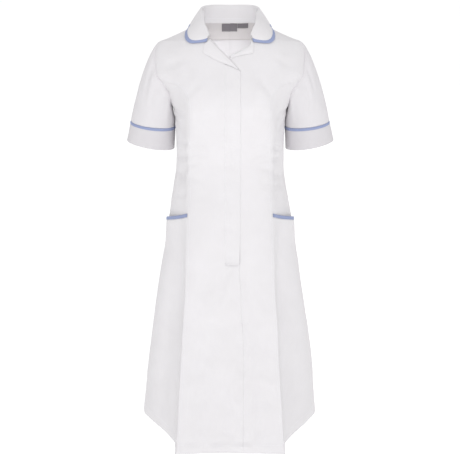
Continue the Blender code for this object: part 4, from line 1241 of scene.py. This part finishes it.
def revere_columns():
    shares = [k / REVERE_COLUMNS for k in range(1, REVERE_COLUMNS)]
    middle = [(0.18 + 0.72 * share, REVERE_ROLL - REVERE_FALL * smoothstep(0.35, 1.0, share))
              for share in shares]
    return REVERE_LIFTS + middle + REVERE_EDGE


def revere_rows(table, base):
    """The facing's rows from the break up to the collar; base is how far it lies above the form."""
    rows = []
    for roll_x, roll_z, outer_x, outer_z in reversed(through([list(row) for row in table], REVERE_STEPS)):
        line = []
        for t, lift in revere_columns():
            x, z = roll_x + (outer_x - roll_x) * t, roll_z + (outer_z - roll_z) * t
            width = math.hypot(outer_x - roll_x, outer_z - roll_z)
            thin = min(1.0, width / 14.0)
            line.append(cloth(u_at_x(x, z), z, base + lift * thin + 0.5 * t * thin))
        rows.append(line)
    return rows


for name, table, side in (("right", REVERE_RIGHT, -1), ("left", REVERE_LEFT, 1)):
    rows = revere_rows(table, REVERE_BASE)
    rows = rows if side > 0 else [list(reversed(row)) for row in rows]
    revere = laid_sheet("revere_%s_cloth" % name, rows, white_cloth)
    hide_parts("revere_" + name)
print("Reveres: the right one ends at the break, %.0f mm below the shoulders" % -REVERE_RIGHT[-1].roll_z)

# %% [markdown]
# ## The fly over the zip
# The zip runs down the centre front, hidden under a flap of the right front. The flap is two layers of
# cloth, sewn down along one side and free along the other. Its lower end stands off a little and throws a
# fine shadow. Nothing shows of the zip itself, so it is left to the flap's shape.

# %% The fly
FLY_TOPS = [(FLY_STITCH_X, -77.5), (FLY_STITCH_X + 12.5, -83.0), (FLY_STITCH_X + 25, -89.0),
            (FLY_EDGE_X, -94.5)]
FLY_ROWS = 120
FLY_ACROSS = [(0.0, -0.9), (0.01, 0.0), (0.04, 0.08), (0.09, 0.16)]
FLY_ACROSS += [(0.09 + 0.81 * k / 14, 0.16 + 1.0 * smoothstep(0, 7, k)) for k in range(1, 15)]
FLY_ACROSS += [(0.94, 1.2), (0.97, 1.3), (0.988, 1.2), (0.997, 0.7), (1.0, -0.5)]


def fly_top(x):
    """The level where the flap starts at x, along the revere's edge."""
    for (x0, z0), (x1, z1) in zip(FLY_TOPS, FLY_TOPS[1:]):
        if x <= x1:
            return z0 + (z1 - z0) * (x - x0) / (x1 - x0)
    return FLY_TOPS[-1][1]


def fly_foot(share):
    """The flap's lower end is cut square, with its free corner a little rounded."""
    return FLY_END_Z + 5.0 * smoothstep(0.86, 1.0, share) ** 2


def fly_rows():
    rows = []
    for k in range(FLY_ROWS + 6):
        t = max(0, k - 5) / FLY_ROWS
        line = []
        for share, lift in FLY_ACROSS:
            x = FLY_STITCH_X + (FLY_EDGE_X - FLY_STITCH_X) * share
            foot = fly_foot(share)
            z = foot + (fly_top(x) - foot) * t
            end = [-0.9, 0.1, 0.45, 0.5, 0.3, 0.1][min(k, 5)] if k < 6 else 0.0
            end += 3.4 * math.exp(-(z - foot) / 16)
            rise = [0.0, 0.0, 0.25, 0.8, 1.6, 2.6][min(k, 5)] if k < 6 else 0.0
            x -= 1.6 * smoothstep(-470, FLY_END_Z, z) * share
            line.append(cloth(u_at_x(x, z + rise), z + rise, lift + end * smoothstep(0, 0.1, share)))
        rows.append(line)
    return rows


fly = laid_sheet("zip_fly_cloth", fly_rows(), white_cloth)
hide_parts("zip_fly")
print("Fly: %.0f mm wide and %.0f mm long" % (FLY_EDGE_X - FLY_STITCH_X, FLY_TOPS[0][1] - FLY_END_Z))

# %% [markdown]
# ## Pocket bindings
# The pocket's mouth is bound like the cuffs, with the strip folded over the edge of the side skirt, so it
# shows from above as well. Its section is one short list of places, and the same list is laid at every
# column along the mouth.

# %% Pocket bindings
MOUTH_SECTION = [(-6.5, -2.1), (-4.0, -2.2), (-1.2, -2.1), (0.1, -1.7), (0.7, -0.9), (0.7, -0.1), (0.1, 0.55),
                 (-0.8, 0.8), (-2.0, 0.85), (-3.6, 0.85), (-5.4, 0.8), (-6.8, 0.6), (-7.4, 0.0), (-7.5, -0.8)]
MOUTH_COLUMNS = 48

for name, side in (("right", -1), ("left", 1)):
    shares = [k / MOUTH_COLUMNS for k in range(MOUTH_COLUMNS + 1)]
    if side < 0:
        shares.reverse()
    rows = [[cloth(side * (EDGE_U + share * 0.998 + 0.001), pocket_mouth(share) + drop,
                   pocket_gape(share, pocket_mouth(share) + min(drop, 0.0)) + lift) for share in shares]
            for drop, lift in reversed(MOUTH_SECTION)]
    binding = laid_sheet("pocket_binding_" + name, rows, blue_binding,
                         thickness=BINDING_THICKNESS)
    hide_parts("pocket_trim_" + name)
print("Pocket bindings: %.0f mm deep" % POCKET_TRIM_WIDTH)


# %% [markdown]
# ## Inside the back neck
# Inside the back neck lie a facing and, sewn in at its top, a label and a smaller size tab. A facing
# finishes the neck seam on the inside. All three are laid on the same form as the back, only a little
# further in, so they follow its curve; the label and the tab curl slightly at their free ends.

# %% Neck facing, label and size tab
def inner_sheet(name, x_low, x_high, levels, finish, columns):
    """A sheet inside the back, under the neck: each level gives z and how far inside the form it lies."""
    rows = []
    for z, inside in levels:
        places = [u_of_back(x_low + (x_high - x_low) * c / columns, z) for c in range(columns + 1)]
        rows.append([cloth(u, z, -inside) for u in places])
    return laid_sheet(name, rows, finish, thickness=LINING_THICKNESS)


def hanging(z_low, z_high, inside, curl, steps):
    """Levels of a piece that hangs free from its top edge and curls a little off the back at its foot."""
    return [(z_low + (z_high - z_low) * k / steps, inside + curl * (1 - k / steps) ** 2)
            for k in range(steps + 1)]


facing_levels = hanging(-21.0, 18.6, 2.0, 1.0, 16) + [(19.5, 1.2), (20.0, 0.1), (20.0, -0.8)]
facing = inner_sheet("neck_facing_cloth", -64, 64, facing_levels, facing_cloth, 48)
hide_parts("neck_facing")
label_levels = hanging(0.5, 19.0, 3.2, 0.8, 8)
label = inner_sheet("neck_label_cloth", -20.8, 18.1, label_levels, label_weave, 16)
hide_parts("neck_label")
tab_levels = hanging(8.5, 19.0, 3.2, 0.6, 6)
size_tab = inner_sheet("size_tab_cloth", 18.7, 45.8, tab_levels, label_weave, 12)
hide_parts("size_tab")
print("Neck pieces: facing, label and size tab")

# %% [markdown]
# ## The sewing
# A stitch is a short, round piece of thread with a small gap before the next. One stitch is made once,
# with few faces, and then laid again and again along a line: beside the princess seams, down the fly,
# along the collar, the reveres and the pocket bindings, and round the hem. The thread lies half sunk in
# the cloth.

# %% One stitch, and lines of stitches
STITCH_PITCH, STITCH_LENGTH, STITCH_WIDTH, STITCH_HEIGHT = 3.2, 2.4, 0.62, 0.42
stitch = bmesh.new()
bmesh.ops.create_icosphere(stitch, subdivisions=1, radius=0.5)
stitch.verts.ensure_lookup_table()
stitch_points = [v.co.copy() for v in stitch.verts]
stitch_faces = [[v.index for v in face.verts] for face in stitch.faces]
stitch.free()


def beside(line, distance):
    """The places a distance in millimetres to the left of a line drawn on the form."""
    places = []
    for k, (u, z) in enumerate(line):
        (u0, z0), (u1, z1) = line[max(k - 1, 0)], line[min(k + 1, len(line) - 1)]
        inner = math.copysign(0.004, -u)
        along_u = (smooth_body(u + inner, z) - smooth_body(u, z)) / inner
        along_z = (smooth_body(u, z + 1.0) - smooth_body(u, z - 1.0)) / 2
        run = along_u * (u1 - u0) + along_z * (z1 - z0)
        step = along_u.cross(along_z).cross(run).normalized() * distance
        uu, uz, zz = along_u.dot(along_u), along_u.dot(along_z), along_z.dot(along_z)
        a, b = step.dot(along_u), step.dot(along_z)
        whole = uu * zz - uz * uz
        places.append((u + (a * zz - b * uz) / whole, z + (b * uu - a * uz) / whole))
    return places


def on_cloth(line, lift):
    """Points on the cloth along a line of places, each with the way the cloth faces there."""
    return [(cloth(u, z, lift), body_normal(u, z).normalized()) for u, z in line]


def stitched(name, runs, finish):
    """One piece made of all the stitches along some runs of points."""
    points, faces, count = [], [], 0
    for run in runs:
        to_next = STITCH_PITCH / 2
        for (a, normal), (b, _) in zip(run, run[1:]):
            length = (b - a).length
            if length < 1e-6:
                continue
            along = (b - a) / length
            side = normal.cross(along).normalized()
            up = along.cross(side)
            while to_next <= length:
                middle = a + along * to_next
                first = len(points)
                points += [(middle + along * p.x * STITCH_LENGTH + side * p.y * STITCH_WIDTH
                            + up * p.z * STITCH_HEIGHT) * MM for p in stitch_points]
                faces += [[first + i for i in face] for face in stitch_faces]
                to_next += STITCH_PITCH
                count += 1
            to_next -= length
    mesh = bpy.data.meshes.new(name)
    mesh.from_pydata(points, [], faces)
    mesh.shade_smooth()
    piece = bpy.data.objects.new(name, mesh)
    bpy.context.scene.collection.objects.link(piece)
    piece.data.materials.append(finish)
    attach(piece, "root")
    print("%s: %d stitches" % (name, count))
    return piece


# %% [markdown]
# ### Where the lines of stitches run
# Each line keeps a set distance from its seam: a double line beside the princess seam, one beside the
# centre seam below the fly, one down the fly's fixed side and two short ones across its end, and one
# round the hem.

# %% Seams of the front, the fly and the hem
# How far each line of stitches lies from its seam or edge
PRINCESS_STITCHES, CENTRE_STITCHES = (2.6, 7.4), 3.0
FLY_STITCHES, FLY_END_STITCHES, HEM_STITCHES = 2.4, 4.0, 22.0
PRINCESS_TOP_Z = -128
seam = [place for place in outer_line() if place[1] < PRINCESS_TOP_Z]
for name, side in (("right", -1), ("left", 1)):
    line = seam if side > 0 else mirrored(seam)
    runs = [on_cloth(beside(line, side * distance), 0.05) for distance in PRINCESS_STITCHES]
    stitched("princess_stitches_" + name, runs, thread_white)
below_fly = filled([(0, z) for z in reversed(EDGE_LEVELS) if z < FLY_END_Z], FINE_STEPS)
centre = [(u_at_x(front_seam_x(z) + CENTRE_STITCHES, z), z) for _, z in below_fly]
stitched("centre_stitches", [on_cloth(centre, 0.05)], thread_white)

down = [(u_at_x(FLY_STITCH_X + FLY_STITCHES, z), z) for z in range(-84, int(FLY_END_Z) + 3, -6)]
across_z, bar_z = FLY_END_Z + FLY_END_STITCHES, FLY_END_Z + FLY_STITCHES
across = [(u_at_x(x, across_z), across_z) for x in range(-9, int(FLY_EDGE_X) - 2, 4)]
bar = [(u_at_x(x, bar_z), bar_z) for x in range(-12, 0, 2)]
stitched("fly_stitches", [on_cloth(down, 0.25), on_cloth(across, 3.8), on_cloth(bar, 4.1)], thread_white)


def hem_line(u):
    """The level of the skirt's lower edge at each place round it."""
    place = abs(u)
    if place <= EDGE_U:
        return FRONT_HEM_Z
    if place <= SIDE_U:
        return side_skirt_levels(place - EDGE_U)[-1]
    return SIDE_HEM_Z + (BACK_HEM_Z - SIDE_HEM_Z) * (place - SIDE_U) / (BACK_U - SIDE_U)


round_hem = [[k / 40 for k in range(-38, 39)], [1.02 + k * 0.96 / 40 for k in range(41)],
             [2.02 + k * 1.96 / 70 for k in range(71)]]
round_hem += [[-u for u in round_hem[1]], [-u for u in round_hem[2]]]
hem_runs = [[(u, hem_line(u) + HEM_STITCHES) for u in part] for part in round_hem]
stitched("hem_stitches", [on_cloth(run, 0.05) for run in hem_runs], thread_white)

# %% [markdown]
# ### Stitches on the collar, the reveres and the pockets
# These pieces stand off the form, so their stitches are placed on the pieces' own sections. Bindings are
# sewn with blue thread and everything else with white.

# %% Collar, reveres and pocket bindings
STAND_STITCHES = 4
collar_normals = strip_normals(collar_rows)
stand_run, leaf_run = [], []
for row, normals in zip(collar_rows, collar_normals):
    inside = Vector((-row[STAND_STITCHES].x, -row[STAND_STITCHES].y, 0.0))
    normal = normals[STAND_STITCHES] * math.copysign(1.0, normals[STAND_STITCHES].dot(inside))
    stand_run.append((row[STAND_STITCHES] + normal * (COLLAR_CLOTH / 2 + 0.05), normal))
for row, normals in zip(band_rows, strip_normals(band_rows)):
    leaf_run.append((row[1] + normals[1] * (BAND_TOP[1] + 0.1), normals[1]))
stitched("stand_stitches", [stand_run[9:-9]], thread_white)
stitched("collar_stitches", [leaf_run], thread_blue)

REVERE_STITCHES, REVERE_NARROWEST, POCKET_STITCHES = 5.0, 12, 6.2
revere_runs = []
for table in (REVERE_RIGHT, REVERE_LEFT):
    run = []
    for roll_x, roll_z, outer_x, outer_z in through([list(row) for row in table], REVERE_STEPS):
        width = math.hypot(outer_x - roll_x, outer_z - roll_z)
        if width < REVERE_NARROWEST:
            continue
        t = 1 - REVERE_STITCHES / width
        x, z = roll_x + (outer_x - roll_x) * t, roll_z + (outer_z - roll_z) * t
        u = u_at_x(x, z)
        lift = REVERE_BASE + REVERE_ROLL - REVERE_FALL * smoothstep(0.35, 1.0, (t - 0.18) / 0.72) + 0.5 * t
        run.append((cloth(u, z, lift), body_normal(u, z).normalized()))
    revere_runs.append(run)
stitched("revere_stitches", revere_runs, thread_white)

for name, side in (("right", -1), ("left", 1)):
    run = []
    for k in range(2, MOUTH_COLUMNS - 1):
        share = k / MOUTH_COLUMNS
        u, z = side * (EDGE_U + share), pocket_mouth(share) - POCKET_STITCHES
        run.append((cloth(u, z, pocket_gape(share, z) + 0.85), body_normal(u, z).normalized()))
    stitched("pocket_stitches_" + name, [run], thread_blue)

# %% [markdown]
# ## The flat size of every piece of cloth
# Each sheet's flat size, the size it was cut to, is printed. The grids were laid at that size, so it is
# measured from them: the longest row, the longest column and the whole area. The pieces it is sewn to are
# named as well.

# %% The sheets' flat sizes
SEWN_TO = {
    "front_right_cloth": ["side_front_right_cloth", "front_left_cloth"],
    "front_left_cloth": ["side_front_left_cloth", "front_right_cloth"],
    "side_front_right_cloth": ["front_right_cloth", "back_right_cloth"],
    "side_front_left_cloth": ["front_left_cloth", "back_left_cloth"],
    "side_skirt_right_cloth": ["front_right_cloth", "back_right_cloth"],
    "side_skirt_left_cloth": ["front_left_cloth", "back_left_cloth"],
    "back_right_cloth": ["back_left_cloth", "side_front_right_cloth"],
    "back_left_cloth": ["back_right_cloth", "side_front_left_cloth"],
    "sleeve_right_cloth": ["front_right_cloth", "back_right_cloth"],
    "sleeve_left_cloth": ["front_left_cloth", "back_left_cloth"],
    "cuff_right_cloth": ["sleeve_right_cloth"],
    "cuff_left_cloth": ["sleeve_left_cloth"],
    "cuff_binding_right": ["cuff_right_cloth"],
    "cuff_binding_left": ["cuff_left_cloth"],
    "collar_cloth": ["back_left_cloth", "back_right_cloth"],
    "collar_binding": ["collar_cloth"],
    "revere_right_cloth": ["front_right_cloth"],
    "revere_left_cloth": ["front_left_cloth"],
    "zip_fly_cloth": ["front_right_cloth"],
    "pocket_binding_right": ["side_skirt_right_cloth"],
    "pocket_binding_left": ["side_skirt_left_cloth"],
    "neck_facing_cloth": ["back_left_cloth", "back_right_cloth"],
    "neck_label_cloth": ["neck_facing_cloth"],
    "size_tab_cloth": ["neck_facing_cloth"],
}
for name, neighbours in SEWN_TO.items():
    width, length, area = cut_sizes[name]
    print("%-24s %4.0f x %4.0f mm, %.4f square metres" % (name, width * 1000, length * 1000, area))


# %% [markdown]
# ## The room
# The dress is shown against white, in soft even light that comes mostly from the front. The room glows
# white all round and a little brighter behind the dress, so that the backdrop comes out pure white while
# the cloth keeps its shade. White cloth in a white room loses its edges when all sides glow alike. A
# small lamp inside the chest lights the inner back that shows in the neck, which the collar would
# otherwise leave too dark. A pale floor lies well below the hem, so that it carries no shadow of the
# dress.

# %% Floor, lights and camera
FLOOR_Z = -1.45
floor_shape = bmesh.new()
bmesh.ops.create_grid(floor_shape, x_segments=1, y_segments=1, size=30.0,
                      matrix=Matrix.Translation((0, 0, FLOOR_Z)))
floor_mesh = bpy.data.meshes.new("floor")
floor_shape.to_mesh(floor_mesh)
floor_shape.free()
floor = bpy.data.objects.new("floor", floor_mesh)
bpy.context.scene.collection.objects.link(floor)
floor_finish = Finish("White floor", (0.95, 0.95, 0.95), 0.9)
floor_finish.shader.inputs["Emission Color"].default_value = (1.0, 1.0, 1.0, 1.0)
floor_finish.shader.inputs["Emission Strength"].default_value = 0.35
floor.data.materials.append(floor_finish.material)

world = bpy.data.worlds.new("Soft white room")
bpy.context.scene.world = world
world.use_nodes = True
room = world.node_tree
room.nodes["Background"].inputs["Color"].default_value = (1.0, 1.0, 1.0, 1.0)
ROOM_SIDES, ROOM_BACKDROP = 0.76, 1.02
towards = room.nodes.new("ShaderNodeTexCoord")
facing_back = room.nodes.new("ShaderNodeVectorMath")
facing_back.operation = "DOT_PRODUCT"
facing_back.inputs[1].default_value = (0.0, 1.0, 0.0)
glow = room.nodes.new("ShaderNodeMapRange")
glow.interpolation_type = "SMOOTHSTEP"
glow.inputs["From Min"].default_value = 0.55
glow.inputs["From Max"].default_value = 0.90
glow.inputs["To Min"].default_value = ROOM_SIDES
glow.inputs["To Max"].default_value = ROOM_BACKDROP
room.links.new(towards.outputs["Generated"], facing_back.inputs[0])
room.links.new(facing_back.outputs["Value"], glow.inputs["Value"])
room.links.new(glow.outputs["Result"], room.nodes["Background"].inputs["Strength"])


def softbox(name, place, aim, size, power):
    """A square area light at a place, turned to face a point."""
    lamp = bpy.data.lights.new(name, "AREA")
    lamp.shape = "SQUARE"
    lamp.size = size
    lamp.energy = power
    light = bpy.data.objects.new(name, lamp)
    light.location = place
    light.rotation_euler = (Vector(aim) - Vector(place)).to_track_quat("-Z", "Y").to_euler()
    bpy.context.scene.collection.objects.link(light)


softbox("front_softbox", (0.5, -3.0, 0.9), (0.0, 0.0, -0.45), 2.4, 33.5)
softbox("left_softbox", (-2.6, -1.8, 0.6), (0.0, 0.0, -0.5), 1.6, 6.5)

softbox("neck_lamp", (0.0, -0.02, -0.097), (0.0, 0.1, -0.078), 0.05, 0.135)

CAMERA_PLACE = (0.0, -2.0, -0.05)
CAMERA_PITCH = 12.568
camera_data = bpy.data.cameras.new("photograph")
camera_data.sensor_width = 36.0
camera_data.lens = 62.78
camera = bpy.data.objects.new("photograph", camera_data)
camera.location = CAMERA_PLACE
camera.rotation_euler = (math.radians(90.0 - CAMERA_PITCH), 0.0, 0.0)
bpy.context.scene.collection.objects.link(camera)
bpy.context.scene.camera = camera
bpy.context.scene.view_settings.view_transform = "Standard"
print("Camera: 2 m in front of the shoulders, looking down by", CAMERA_PITCH, "degrees")
